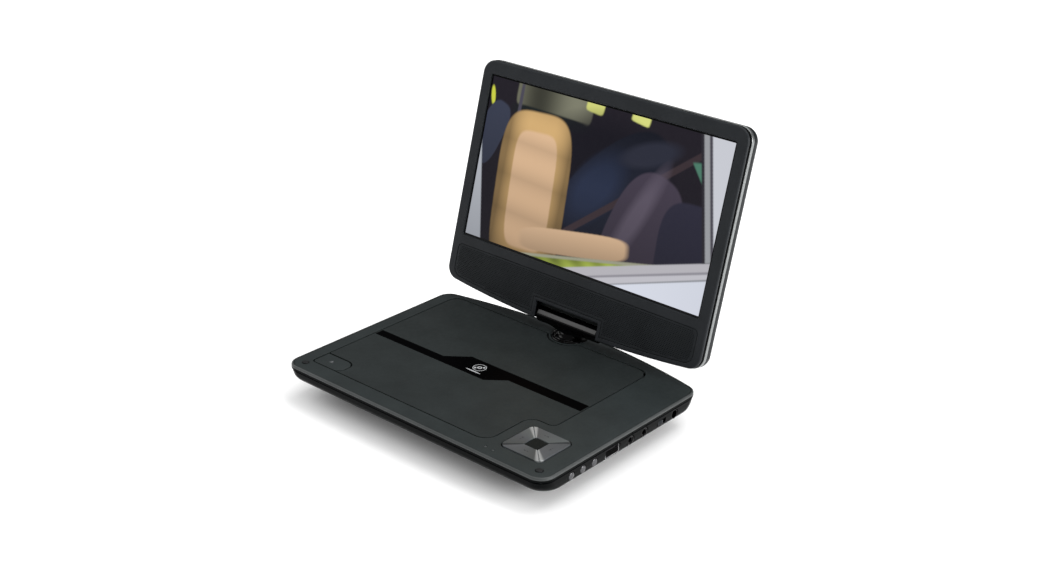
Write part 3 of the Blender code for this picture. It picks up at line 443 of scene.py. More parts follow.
def painted_fan_metal(name):
    """Spun metal round the pad's middle, with its reflections painted into the base colour by angle: two bright fans
    along one diagonal as painted highlight, dark creases along the other as painted shade, and the facets of one
    half painted a little lighter than the other.
    """
    mat, tree, main = shader(name, (0.09, 0.10, 0.105), 0.34, 0.35, 0.0, 0.35)
    where = tree.nodes.new("ShaderNodeTexCoord")
    shift = preset(tree.nodes.new("ShaderNodeMapping"), Location=(-PAD_X, -(FRONT + PAD_Y), 0.0))
    around = tree.nodes.new("ShaderNodeTexGradient")
    around.gradient_type = "RADIAL"
    tones = tree.nodes.new("ShaderNodeValToRGB")
    # The bright and dark tones below are painted highlight and painted shade, not tones of the metal itself.
    bright, dark = (0.30, 0.312, 0.314), (0.030, 0.034, 0.037)
    for end in tones.color_ramp.elements:
        end.color = (0.070, 0.078, 0.088, 1.0)
    stops = []
    for turn in (0.125, 0.375, 0.625, 0.875):
        color, flat, soft = (dark, 0.002, 0.016) if turn in (0.125, 0.625) else (bright, 0.013, 0.026)
        near, far = (0.060, 0.068, 0.070), (0.085, 0.093, 0.102)
        if turn > 0.5:
            near, far = (0.075, 0.082, 0.088), (0.095, 0.108, 0.110)
        stops += [(turn - soft, near), (turn - flat, color), (turn + flat, color), (turn + soft, far)]
    for place, color in stops:
        tones.color_ramp.elements.new(place).color = (*color, 1.0)
    tree.links.new(where.outputs["Object"], shift.inputs["Vector"])
    tree.links.new(shift.outputs["Vector"], around.inputs["Vector"])
    tree.links.new(around.outputs["Fac"], tones.inputs["Fac"])
    tree.links.new(tones.outputs["Color"], main.inputs["Base Color"])
    tree.links.new(spread(tree, noise(tree, 500.0, 4.0), 0.29, 0.39), main.inputs["Roughness"])
    bump(tree, main, noise(tree, 1800.0, 3.0), 0.00001, 0.3)
    return mat


PAD_X, PAD_Y, PAD_HALF, PAD_CORNER = 0.0775, 0.0305, 0.0155, 0.0042
CASE = moulded("case_satin", (0.019, 0.0240, 0.0245), 0.44, specular=0.16)
# The rim's colour is lighter than the top's as a painted highlight along its rounded edge.
RIM_PAINTED_HIGHLIGHT = moulded("case_rim_painted_highlight", (0.046, 0.050, 0.050), 0.36, specular=0.30)
DOOR_FINISH = moulded("door_satin", (0.0175, 0.0215, 0.0217), 0.46, specular=0.13)
WALLS = moulded("wall_gloss", (0.0016, 0.0020, 0.0022), 0.22, 900.0, 0.000008, 0.03)
PIANO = moulded("piano_black", (0.0010, 0.0010, 0.0012), 0.12, 300.0, 0.000004, 0.20)
STRIPE_GLOSS = moulded("stripe_gloss", (0.0006, 0.0006, 0.0008), 0.30, 300.0, 0.000002, 0.008)
LID_FINISH = moulded("lid_satin", (0.0165, 0.0186, 0.0212), 0.40, 3000.0, 0.00003, 0.16)
BACK = moulded("back_satin", (0.0070, 0.0085, 0.0095), 0.40, 2200.0, 0.00004, 0.12)
MESH_PAINT = moulded("grille_paint", (0.0142, 0.0165, 0.0185), 0.50, 2400.0, 0.00002, 0.14)
CLOTH = moulded("grille_cloth", (0.0030, 0.0036, 0.0042), 0.85, 1500.0, 0.0001, 0.1)
RUBBER = moulded("rubber_black", (0.008, 0.009, 0.010), 0.62, 1800.0, 0.00006, 0.25)
DECK = moulded("deck_matt", (0.0050, 0.0055, 0.0060), 0.50, 1600.0, 0.00005, 0.20)
CAVITY = moulded("key_black", (0.0035, 0.0055, 0.0055), 0.45, 1600.0, 0.00003, 0.12)
HUB = moulded("hub_grey", (0.05, 0.052, 0.056), 0.5, 1200.0, 0.00004)
# Pad keys: spun metal whose bright fans and dark creases are painted highlight and painted shade.
KEY_METAL_PAINTED_FANS = painted_fan_metal("key_metal")
CHROME = brushed("bright_plate", (0.095, 0.095, 0.10), 0.26, (1.0, 1.0, 1.0), 0.8)
# Pale brushed metal for the band round the lid's side, a painted reflection of the bright surroundings on the dark
# side.
BAND_PAINTED_REFLECTION = brushed("band_painted_reflection", (0.24, 0.25, 0.25), 0.28, (30.0, 30.0, 30.0), 0.85)
# Mid-grey for the strip on the hinge barrel, a painted highlight.
BARREL_PAINTED_HIGHLIGHT = moulded("barrel_painted_highlight", (0.085, 0.085, 0.085), 0.40, 1500.0, 0.00002, 0.3)
STEEL = brushed("plain_steel", (0.42, 0.42, 0.43), 0.32)
DARK_STEEL = brushed("dark_steel", (0.10, 0.10, 0.105), 0.30, (1.0, 1.0, 1.0))
ZINC = brushed("cast_zinc", (0.42, 0.43, 0.45), 0.42, (1.0, 1.0, 1.0))
COPPER = moulded("board_green", (0.012, 0.085, 0.040), 0.42, 700.0, 0.00006)
WRAP = moulded("cell_wrap", (0.10, 0.18, 0.32), 0.35, 500.0, 0.00003)
INK = moulded("print_grey", (0.34, 0.35, 0.36), 0.5, 2000.0, 0.000005)
FAINT_INK = moulded("print_faint", (0.10, 0.105, 0.11), 0.5, 2000.0, 0.000005)
DARK_INK = moulded("print_dark", (0.010, 0.011, 0.012), 0.5, 2000.0, 0.000005)
PIPE = moulded("light_pipe", (0.045, 0.05, 0.05), 0.3, 900.0, 0.00001)
LENS = moulded("lens_blue", (0.05, 0.08, 0.22), 0.06, 200.0, 0.000001, coat=1.0)


def finish(obj, mat, body, slot, *nodes):
    obj.data.materials.append(mat)
    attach(obj, body)
    if nodes:
        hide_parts(*nodes)
    return obj


# ---------------------------------------------------------------- base


def case_top():
    def level(inset, z, corner=0.010):
        return base_outline(inset, inset, inset, max(corner - inset, 0.004), RIM_RADIUS - inset), z

    sections = [level(0.0, TOP - 0.0016), level(0.0, TOP - 0.0013)]
    sections += [level(0.0012 * (1 - c), TOP - 0.0013 + 0.0013 * s) for c, s in quarter(6, 1)]
    sections += [level(0.00128, TOP - 0.0001), level(0.00128, TOP - 0.0016)]
    # The rim band carries the lighter colour: a painted highlight on the rounding.
    finish(band("case_rim", BASE, sections), RIM_PAINTED_HIGHLIGHT, "base", "case_black", "upper_case")
    sections = [level(0.0003, SPLIT + 0.0004), level(0.0, SPLIT + 0.0007), level(0.0, TOP - 0.0017),
                level(0.00128, TOP - 0.0017), level(0.00128, SPLIT + 0.0004)]
    finish(band("case_skirt", BASE, sections), WALLS, "base", "wall_black", "upper_case")

    def plate(inset, grow):
        return base_outline(inset, inset, inset, 0.0085, -(WELL_RADIUS + grow))

    rings = [(plate(0.00166, 0.0), TOP - 0.0022), (plate(0.00166, 0.0), TOP - 0.00040)]
    rings += [(plate(0.00172, 0.00005), TOP - 0.00028), (plate(0.0019, 0.00016), TOP - 0.00020)]
    rings += [(plate(0.0034, 0.00018), TOP - 0.00007), (plate(0.0052, 0.0002), TOP)]
    opening = door_outline(SEAM + 0.00012, 0.0008, key_notch=False)
    half = PAD_HALF + SEAM + 0.00025
    well = rectangle(PAD_X - half, PAD_X + half, PAD_Y - half, PAD_Y + half, 0.0047)
    under = TOP - 0.0022
    holes = [lip(opening, TOP, 0.00012, under, 3), lip(well, TOP, 0.00015, under, 3)]
    for x, y in LEDS:
        holes.append(lip(circle(x, y, 0.0010, 24), TOP, 0.0001, under, 2))
    for side in (-1, 1):
        holes.append(lip(circle(side * BUMPER_X, BUMPER_Y, 0.0025, 32), TOP, 0.00015, under, 2))
    top = panel("case_top_plate", BASE, rings, holes)
    finish(top, CASE, "base", "case_black", "upper_case")


BUMPER_X, BUMPER_Y = 0.098, 0.0088
LEDS = ((0.0574, 0.0082), (0.0634, 0.0079))
SIDE_KEY_Y = (0.0272, 0.0378, 0.0485)
JACK_Y = (0.0836, 0.0974)
PORT_Z = 0.0161
USB_Y, SWITCH_Y, SUPPLY_Y = 0.066, 0.1135, 0.1285
FEET = (("foot_front_left", -0.070, 0.040), ("foot_front_right", 0.070, 0.040),
        ("foot_rear_left", -0.068, 0.124), ("foot_rear_right", 0.068, 0.124))
SCREWS = (("front_left", -0.050, 0.033), ("front_right", 0.050, 0.033),
          ("rear_left", -0.050, 0.134), ("rear_right", 0.050, 0.134))


def case_bottom():
    outer = smooth_levels(mm((1.5, 25, 27, 25, 10), (2.6, 22, 24, 22, 11), (8, 9, 13, 11, 12),
                             (12, 2.2, 5.5, 4.2, 12), (15.5, 0.9, 1.6, 1.4, 11), (19.9, 0.4, 0.4, 0.4, 10)))
    inner = mm((20.3, 2.4, 2.4, 2.4, 8), (15.8, 2.9, 3.6, 3.4, 9), (13, 4.4, 8, 6.4, 10), (9.4, 11.6, 16, 14, 10),
               (3.6, 25, 27, 25, 9))
    rings = [(base_outline(*row[1:]), row[0]) for row in outer]
    rings.append((base_outline(0.0008, 0.0008, 0.0008, 0.0098), SPLIT))
    rings += [(base_outline(*row[1:]), row[0]) for row in inner]
    hull = panel("case_hull", BASE, rings)

    def bore(place, radius, low, high, steps=40):
        return turned("tool", place, [(radius, low), (radius, high)], steps)

    def gap(place, outline, low, high):
        return panel("tool", place, [(outline, low), (outline, high)])

    tools = [bore(at(WALL, y, PORT_Z), 0.0028, -0.010, 0.003) for y in SIDE_KEY_Y]
    tools += [bore(at(WALL, y, PORT_Z), 0.0036, -0.010, 0.003) for y in (*JACK_Y, SUPPLY_Y)]
    usb = rectangle(USB_Y - 0.0069, USB_Y + 0.0069, PORT_Z - 0.0032, PORT_Z + 0.0032, 0.0004, 3)
    gate = rectangle(SWITCH_Y - 0.0029, SWITCH_Y + 0.0059, PORT_Z - 0.0018, PORT_Z + 0.0018, 0.0004, 3)
    tools += [gap(WALL, outline, -0.010, 0.003) for outline in (usb, gate)]
    tools += [bore(at(BASE, x, y), 0.0063, 0.0, 0.0020) for _, x, y in FEET]
    tools += [bore(at(BASE, x, y), 0.0031, 0.0, 0.0050, 32) for _, x, y in SCREWS]
    for i in range(12):
        vent = rectangle(-0.0275 + 0.005 * i, -0.0260 + 0.005 * i, 0.062, 0.078, 0.0007, 4)
        tools.append(gap(BASE, vent, 0.0, 0.0027))
    plate = rectangle(-0.030, 0.030, 0.088, 0.114, 0.002, 6)
    tools.append(gap(BASE, plate, 0.0, 0.0017))
    subtract(hull, tools)
    finish(hull, WALLS, "base", "wall_black", "lower_case")
    profile = [(0.0092, 0.0080), (0.0112, 0.0092), (0.0128, 0.0110), (0.0138, 0.0134), (0.0140, 0.0160),
               (0.0140, SPLIT - 0.0004), (0.0136, SPLIT), (0.0126, SPLIT), (0.0125, 0.0100), (0.0092, 0.0090)]
    bulge = turned("case_bulge", at(BASE, 0.0, TURRET_Y), profile, 64, loop=True)
    finish(bulge, WALLS, "base", "wall_black")
    for name, x, y in FEET:
        profile = mm((0.1, 0), (5.2, 0), (5.6, 0.1), (5.9, 0.4), (6, 0.8), (6, 1.7))
        foot = turned(name + "_pad", at(BASE, x, y), profile, 48)
        finish(foot, RUBBER, "base", "rubber", name)
    for name, x, y in SCREWS:
        place = at(BASE, x, y, 0.0018) @ Matrix.Rotation(math.pi, 4, "X")
        finish(screw_head(f"screw_head_{name}", place, 0.0028), STEEL, "base", "steel", f"case_screw_{name}")


def cross(reach, half):
    return [Vector(p) for p in ((half, half), (half, reach), (-half, reach), (-half, half), (-reach, half),
                                (-reach, -half), (-half, -half), (-half, -reach), (half, -reach),
                                (half, -half), (reach, -half), (reach, half))]


def screw_head(name, place, radius):
    """Cross-head screw: z = 0 is its highest point and the shank runs to -z."""
    rim = [(circle(0, 0, radius * 0.5, 40), -0.0060), (circle(0, 0, radius * 0.5, 40), -0.0014)]
    rim += [(circle(0, 0, radius, 40), -0.0012), (circle(0, 0, radius, 40), -0.0005)]
    for i in range(1, 6):
        a = math.pi / 2 * i / 6
        rim.append((circle(0, 0, radius * math.cos(a * 0.72), 40), -0.0005 + 0.0005 * math.sin(a)))
    bit = cross(radius * 0.30, radius * 0.085)
    pocket = [(bit, rim[-1][1]), (offset(bit, -radius * 0.03), rim[-1][1] - 0.0007)]
    return panel(name, place, rim, pockets=[pocket])


def small_trim():
    for name, side in (("left", -1), ("right", 1)):
        profile = [(0.0022, 0.0206), (0.0022, TOP + 0.0001), (0.0020, TOP + 0.0004), (0.0015, TOP + 0.00055)]
        profile.append((0.0001, TOP + 0.0006))
        stud = turned(f"bumper_dome_{name}", at(BASE, side * BUMPER_X, BUMPER_Y), profile, 40)
        finish(stud, RUBBER, "base", "rubber", f"bumper_{name}")
    for name, (x, y) in zip(("power", "charge"), LEDS):
        profile = [(0.0007, 0.0190), (0.0007, TOP - 0.0001), (0.0005, TOP + 0.00005), (0.0001, TOP + 0.0001)]
        pipe = turned(f"indicator_lens_{name}", at(BASE, x, y), profile, 24)
        finish(pipe, PIPE, "base", "light_pipe", f"indicator_{name}")


def mark(name, place, outline, mat, body, height=0.00003, hole=None, slot="silver_key"):
    """Thin printed or moulded mark standing height above the surface it lies on."""
    mesh = bmesh.new()
    loops = []
    for ring in (outline, hole) if hole else (outline,):
        loops.append([[mesh.verts.new((p[0], p[1], z)) for p in ring] for z in (0.0, height)])
        skin(mesh, loops[-1])
    for side in (0, 1):
        fill(mesh, [rows[side] for rows in loops])
    return finish(made(name, mesh, place), mat, body, slot)


STRIPE = ((DOOR_LEFT + 0.0009, 0.0695), (0.0008, 0.0695), (0.0126, 0.0797), (DOOR_RIGHT - 0.0009, 0.0797),
          (DOOR_RIGHT - 0.0009, 0.0885), (-0.0262, 0.0885), (-0.0405, 0.0765), (DOOR_LEFT + 0.0009, 0.0765))


def door():
    plan = offset(door_outline(), -0.00032)
    stripe = offset([Vector(p) for p in STRIPE], 0.0001)
    under = TOP - 0.002
    rings = [(offset(plan, -0.0002), under)] + edge(plan, TOP, 0.00014, under + 0.0002, 3)
    pocket = [(offset(stripe, 0.00012), TOP), (stripe, TOP - 0.00012), (stripe, TOP - 0.0009)]
    leaf = panel("door_leaf", BASE, rings, pockets=[pocket])
    finish(leaf, DOOR_FINISH, "door", "case_black", "disc_door")
    inlay = offset([Vector(p) for p in STRIPE], -0.00005)
    low = TOP - 0.0008
    glossy = panel("stripe_inlay", BASE, edge(inlay, TOP - 0.00005, 0.00018, low, 3))
    finish(glossy, STRIPE_GLOSS, "door", "gloss_black", "door_stripe")
    rib = [(circle(DISC_X, DISC_Y, r, 96), z) for r, z in
           ((0.0510, under + 0.0001), (0.0510, under - 0.0005), (0.0506, under - 0.0007),
            (0.0500, under - 0.0007), (0.0496, under - 0.0005), (0.0496, under + 0.0001))]
    finish(band("door_rib", BASE, rib), DOOR_FINISH, "door", "case_black")
    for side, inner in ((-1, -0.0928), (1, 0.0668)):
        place = at(BASE, inner, *DOOR_PIVOT) @ Matrix.Rotation(side * math.pi / 2, 4, "Y")
        pin = turned(f"door_pintle_{'left' if side < 0 else 'right'}", place,
                     [(0.0006, -0.002), (0.0006, 0.0016), (0.0004, 0.0018)], 24)
        finish(pin, DOOR_FINISH, "door", "case_black")
    place = at(BASE, -0.0122, 0.0803, TOP - 0.00006)
    thick = 0.00004
    mark("disc_icon_ring", place, circle(0, 0, 0.0046, 64), INK, "door", thick, circle(0, 0, 0.0041, 64))
    mark("disc_icon_hub", place, circle(0, 0, 0.0017, 40), INK, "door", thick, circle(0, 0, 0.0008, 24))
    for i, start in enumerate((0.35, 0.35 + math.pi)):
        glint = arc((0, 0), 0.0036, start, start + 0.7, 10) + arc((0, 0), 0.0022, start + 0.7, start, 8)
        mark(f"disc_icon_glint_{i + 1}", place, glint, INK, "door", thick)
    line = [Vector((0.0062 * math.cos(math.tau * i / 40), -0.0063 + 0.0006 * math.sin(math.tau * i / 40)))
            for i in range(40)]
    mark("disc_icon_line", place, line, INK, "door", thick)


def key_open():
    x_low, x_high, y_low, y_high = KEY
    plan = rounded([(x_low, y_low, 0.0022), (x_high - 0.0035, y_low, 0.002), (x_high, y_low + 0.0035, 0.002),
                    (x_high, y_high, 0.006), (x_low, y_high, 0.001)])
    plan = offset(plan, -0.00018)
    key = panel("open_key_cap", BASE, edge(plan, TOP, 0.0003, TOP - 0.0011, 4))
    finish(key, CASE, "open_key", "case_black", "open_button")
    stem = turned("open_key_stem", at(BASE, (x_low + x_high) / 2, (y_low + y_high) / 2),
                  [(0.0020, 0.0170), (0.0020, TOP - 0.0008)], 24)
    finish(stem, CASE, "open_key", "case_black")
    place = at(BASE, -0.0862, 0.0205, TOP)
    arrow = [Vector(p) for p in mm((-1.3, 0.1), (1.3, 0.1), (0, 1.6))]
    mark("open_icon_arrow", place, arrow, FAINT_INK, "open_key")
    mark("open_icon_bar", place, rectangle(-0.0013, 0.0013, -0.0009, -0.0004), FAINT_INK, "open_key")


def pad():
    """Four wedge keys that nearly meet along the diagonals, round a flat square key."""
    top = TOP + 0.0005
    names = (("down", 0), ("right", 1), ("up", 2), ("left", 3))
    shoulder = PAD_HALF - PAD_CORNER
    tip = 0.00535
    thin = 0.00008
    plan = arc((-shoulder, -shoulder), PAD_CORNER, math.radians(-133), -math.pi / 2, 8)
    plan += arc((shoulder, -shoulder), PAD_CORNER, -math.pi / 2, math.radians(-47), 8)
    plan += [Vector((tip - thin, -tip)), Vector((-tip + thin, -tip))]
    for name, quarter in names:
        place = at(BASE, PAD_X, PAD_Y) @ Matrix.Rotation(quarter * math.pi / 2, 4, "Z")
        rings = [(plan, 0.0212), (plan, top - 0.00035)]
        rings += [(offset(plan, -0.00008), top - 0.00015), (offset(plan, -0.00022), top)]
        key = panel(f"pad_wedge_{name}", place, rings, sharp=25.0)
        finish(key, KEY_METAL_PAINTED_FANS, f"pad_{name}", "key_metal", f"pad_key_{name}")
    half = 0.0051
    square = rectangle(-half, half, -half, half, 0.0004, 4)
    centre = panel("pad_square", at(BASE, PAD_X, PAD_Y), edge(square, TOP + 0.0002, 0.00025, 0.0212, 4))
    finish(centre, CAVITY, "pad_centre", "case_black", "pad_key_centre")
    reach = 0.0106
    for name, quarter in names:
        place = at(BASE, PAD_X, PAD_Y, top) @ Matrix.Rotation(quarter * math.pi / 2, 4, "Z")
        tips = mm((-1, 0.6), (0, -0.7), (1, 0.6), (0, 0.2))
        mark(f"pad_icon_{name}", place, [Vector((x, y - reach)) for x, y in tips], DARK_INK, f"pad_{name}")
        bar = rectangle(0.0016, 0.0028, -reach - 0.00015, -reach + 0.00015)
        mark(f"pad_icon_bar_{name}", place, bar, DARK_INK, f"pad_{name}")


def wall_items():
    for name, y in zip(("front", "middle", "rear"), SIDE_KEY_Y):
        profile = mm((2.5, -5), (2.5, -0.4), (2.45, -0.1))
        profile += [(0.0024 * c + 0.00002, -0.0001 + 0.0009 * s) for c, s in quarter(8, 1)]
        dome = turned(f"side_dome_{name}", at(WALL, y, PORT_Z), profile, 40)
        finish(dome, CHROME, f"side_{name}", "silver_key", f"side_button_{name}")
    barrel = mm((3.3, -12), (3.3, -0.6), (3.2, -0.2))
    for name, y in zip(("headphone", "video"), JACK_Y):
        place = at(WALL, y, PORT_Z)
        profile = barrel + mm((2.9, 0), (2.4, 0), (2.25, -0.3), (2.25, -12))
        finish(turned(f"{name}_bezel", place, profile, 48, loop=True), PIANO, "base", "gloss_black", f"{name}_jack")
        profile = mm((2.2, -11.5), (2.2, -0.8), (2.1, -0.5), (1.9, -0.5), (1.75, -0.8), (1.75, -10))
        finish(turned(f"{name}_sleeve", place, profile, 48), DARK_STEEL, "base", "silver_key")
    profile = barrel + mm((3, 0), (2.7, 0), (2.6, -0.2), (2.6, -9), (0.7, -9), (0.7, -2.2), (0.4, -1.6))
    bezel = turned("supply_bezel", at(WALL, SUPPLY_Y, PORT_Z), profile, 48)
    finish(bezel, PIANO, "base", "gloss_black", "supply_jack")
    outer = rectangle(USB_Y - 0.0066, USB_Y + 0.0066, PORT_Z - 0.0029, PORT_Z + 0.0029, 0.0005, 4)
    mouth = rectangle(USB_Y - 0.0062, USB_Y + 0.0062, PORT_Z - 0.0025, PORT_Z + 0.0025, 0.0003, 4)
    shell = panel("usb_shell", WALL, [(outer, -0.014), (outer, -0.0004), (offset(outer, -0.00008), -0.0003)],
                  pockets=[[(offset(mouth, 0.00008), -0.0003), (mouth, -0.0004), (mouth, -0.0130)]])
    finish(shell, STEEL, "base", "steel", "usb_socket")
    tongue = rectangle(USB_Y - 0.0055, USB_Y + 0.0055, PORT_Z + 0.0001, PORT_Z + 0.0019, 0.0002, 2)
    finish(panel("usb_tongue", WALL, edge(tongue, -0.0020, 0.0002, -0.0132, 2)), DECK, "base", "deck_black")
    for i in range(4):
        x = USB_Y - 0.0036 + 0.0024 * i
        pad_shape = rectangle(x - 0.0005, x + 0.0005, -0.0120, -0.0025)
        place = WALL @ Matrix.Translation((0, PORT_Z + 0.0001, 0)) @ Matrix.Rotation(math.pi / 2, 4, "X")
        mark(f"usb_contact_{i + 1}", place, pad_shape, ZINC, "base", 0.00005, slot="steel")
    low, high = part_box("power_switch")
    slider = rectangle(low[1] - FRONT, high[1] - FRONT, low[2], high[2], 0.0005, 4)
    knob = panel("switch_knob", WALL, edge(slider, 0.0004, 0.0002, -0.004, 3))
    finish(knob, LID_FINISH, "switch", "wall_black", "power_switch")
    for i in range(4):
        x = SWITCH_Y - 0.0012 + 0.0008 * i
        ridge = rectangle(x - 0.0002, x + 0.0002, PORT_Z - 0.0010, PORT_Z + 0.0010, 0.0001, 2)
        finish(panel(f"switch_ridge_{i + 1}", WALL, edge(ridge, 0.0006, 0.0001, 0.0003, 2)), LID_FINISH,
               "switch", "wall_black")


def port_marks():
    """Small generic icons on the upright rim over the sockets."""
    rim = Matrix(((0, 0, 1, HALF - 0.00002), (1, 0, 0, FRONT), (0, 1, 0, 0), (0, 0, 0, 1)))
    z = 0.0218
    for i, y in enumerate(JACK_Y):
        mark(f"wall_mark_jack_{i + 1}", rim, circle(y, z, 0.0006, 20), FAINT_INK, "base", 0.00002)
    for i, y in enumerate((0.1122, 0.1180)):
        dash = rectangle(y - 0.00012, y + 0.00012, z - 0.0006, z + 0.0006)
        mark(f"wall_mark_switch_{i + 1}", rim, dash, INK, "base", 0.00002)


def bay():
    outline = offset(door_outline(SEAM, 0.00075, key_notch=False), 0.0010)
    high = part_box("drive_deck")[1][2]
    hole = [(circle(DISC_X, DISC_Y, BAY_RADIUS + 0.0004, 128), high),
            (circle(DISC_X, DISC_Y, BAY_RADIUS + 0.0001, 128), high - 0.0001),
            (circle(DISC_X, DISC_Y, BAY_RADIUS, 128), high - 0.0004),
            (circle(DISC_X, DISC_Y, BAY_RADIUS, 128), high - 0.0018)]
    key = circle((KEY[0] + KEY[1]) / 2, (KEY[2] + KEY[3]) / 2, 0.0024, 24)
    plan = deck_plan(outline)
    plate = panel("deck_plate", BASE, [(plan, high - 0.0018), (plan, high - 0.0001), (offset(plan, -0.0001), high)],
                  [hole, [(key, high), (key, high - 0.0018)]])
    finish(plate, DECK, "base", "deck_black", "drive_deck")
    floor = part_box("bay_floor")[1][2]
    skirt = [(circle(DISC_X, DISC_Y, r, 128), z) for r, z in
             ((BAY_RADIUS, high - 0.0019), (BAY_RADIUS, floor - 0.0012), (BAY_RADIUS + 0.0014, floor - 0.0012),
              (BAY_RADIUS + 0.0014, high - 0.0019))]
    finish(band("bay_skirt", BASE, skirt), DECK, "base", "deck_black")
    slot = rectangle(DISC_X - 0.0172, 0.0473, DISC_Y - 0.0172, DISC_Y + 0.0172, 0.006)
    rings = [(circle(DISC_X, DISC_Y, BAY_RADIUS - 0.0003, 128), floor - 0.0012),
             (circle(DISC_X, DISC_Y, BAY_RADIUS - 0.0003, 128), floor)]
    sheet = panel("bay_sheet", BASE, rings, [lip(slot, floor, 0.0003, floor - 0.0012, 3)])
    finish(sheet, DECK, "base", "deck_black", "bay_floor")
    clear = math.radians(19)
    ring = arc((DISC_X, DISC_Y), 0.0583, clear, math.tau - clear, 90)
    ring += arc((DISC_X, DISC_Y), 0.0575, math.tau - clear, clear, 90)
    finish(panel("bay_landing_ring", BASE, edge(ring, floor + 0.0003, 0.0001, floor - 0.0001, 2)), DECK,
           "base", "deck_black")


def deck_plan(outline):
    """The plate's outline, pushed out of the turret's well."""
    well, clear = Vector((0.0, TURRET_Y)), 0.0144
    return [p if (p - well).length > clear else well + (p - well).normalized() * clear for p in outline]


def spindle_and_pickup():
    middle = at(BASE, DISC_X, DISC_Y)
    hub = mm((1, 10), (1, 15.2), (14.8, 15.2), (15, 15.4), (15, 16.2), (14.8, 16.5), (14.4, 16.9), (14.2, 17.2),
             (11.2, 17.2), (11, 17.1), (10.8, 17.2), (9, 17.2), (9, 17.7), (8.9, 17.8), (7.5, 17.8), (7.4, 17.9),
             (7.4, 19.3), (7.1, 19.8), (6.2, 20.4), (5, 20.8), (3.2, 20.8), (3, 20.6), (0.1, 20.5))
    finish(turned("hub_disc", middle, hub, 72), HUB, "spindle", "hub", "turntable")
    for i in range(3):
        a = math.tau * i / 3 + 0.4
        mesh = bmesh.new()
        bmesh.ops.create_uvsphere(mesh, u_segments=20, v_segments=12, radius=0.0010)
        place = middle @ Matrix.Translation((0.0069 * math.cos(a), 0.0069 * math.sin(a), 0.0188))
        finish(made(f"hub_ball_{i + 1}", mesh, place), CHROME, "spindle", "hub")
    x, y = PICKUP_X, DISC_Y
    plan = rectangle(x - 0.0045, x + 0.0045, y - 0.006, y + 0.006, 0.0008, 5)
    eye = circle(x, y, 0.0027, 40)
    frame_piece = panel("lens_frame", BASE, edge(plan, 0.0159, 0.0002, 0.0146, 2),
                        [[(eye, 0.0159), (eye, 0.0146)]])
    finish(frame_piece, DECK, "lens", "deck_black", "lens_holder")
    profile = mm((2.6, 15), (2.6, 16.2), (2.2, 16.4))
    profile += [(0.0018 * c + 0.00003, 0.0164 + 0.0005 * s) for c, s in quarter(6)]
    finish(turned("lens_dome", at(BASE, x, y), profile, 48), LENS, "lens", "lens", "objective_lens")


# ---------------------------------------------------------------- hinge


def hinge():
    place = Matrix.Translation(SWIVEL)
    disc = mm((7, -2.2), (12.5, -2.2), (12.5, -0.2), (12.45, 0.1), (12.2, 0.4), (11.8, 0.58), (11.2, 0.65),
              (10.6, 0.58), (10.3, 0.3), (10, 0.15), (9.7, 0.3), (9.4, 0.6), (8.8, 0.7), (8.2, 0.9), (7.7, 1.4),
              (7.3, 2.2), (6.9, 3), (6.6, 3.4), (6.2, 3.6), (0.1, 3.6))
    finish(turned("turret_disc", place, disc, 96, sharp=50), PIANO, "swivel", "wall_black", "turret")
    rings = []
    for i in range(9):
        t = i / 8
        ease = t * t * (3 - 2 * t)
        half_x = 0.0062 + (0.0248 - 0.0062) * ease
        half_y = 0.0050 - 0.0006 * math.sin(math.pi * t)
        outline = rectangle(-half_x, half_x, -half_y, half_y, 0.0020, 6)
        rings.append((outline, 0.0018 + t * (0.0075 - 0.0018)))
    finish(panel("turret_neck", place, rings), WALLS, "swivel", "wall_black")
    tube = Matrix.Translation(TILT) @ Matrix.Rotation(math.pi / 2, 4, "Y")
    half = 0.0257
    profile = []
    for side in (-1, 1):
        end = [(0.00255, side * (half - 0.008)), (0.0026, side * (half - 0.0003)), (0.0028, side * half),
               (0.0047, side * half), (0.0052, side * (half - 0.0002)), (0.0055, side * (half - 0.0006))]
        profile += end if side < 0 else end[::-1]
    finish(turned("turret_barrel", tube, profile, 64, loop=True), PIANO, "swivel", "wall_black")
    # A mid-grey strip over the barrel's upper front, 22 to 50 degrees up, stands in for the highlight the barrel
    # catches there: a painted highlight.
    front = [math.radians(22 + 28 * i / 10) for i in range(11)]
    strip = [Vector((-0.00562 * math.cos(a), 0.00562 * math.sin(a))) for a in front]
    strip += [Vector((-0.0054 * math.cos(a), 0.0054 * math.sin(a))) for a in reversed(front)]
    across = Matrix.Translation(TILT) @ Matrix(((0, 0, 1, 0), (1, 0, 0, 0), (0, 1, 0, 0), (0, 0, 0, 1)))
    reach = half - 0.0012
    rings = [(offset(strip, -0.00005), -reach - 0.0002), (strip, -reach), (strip, reach)]
    rings.append((offset(strip, -0.00005), reach + 0.0002))
    finish(panel("barrel_painted_highlight_strip", across, rings), BARREL_PAINTED_HIGHLIGHT, "swivel", "wall_black")


# ---------------------------------------------------------------- lid


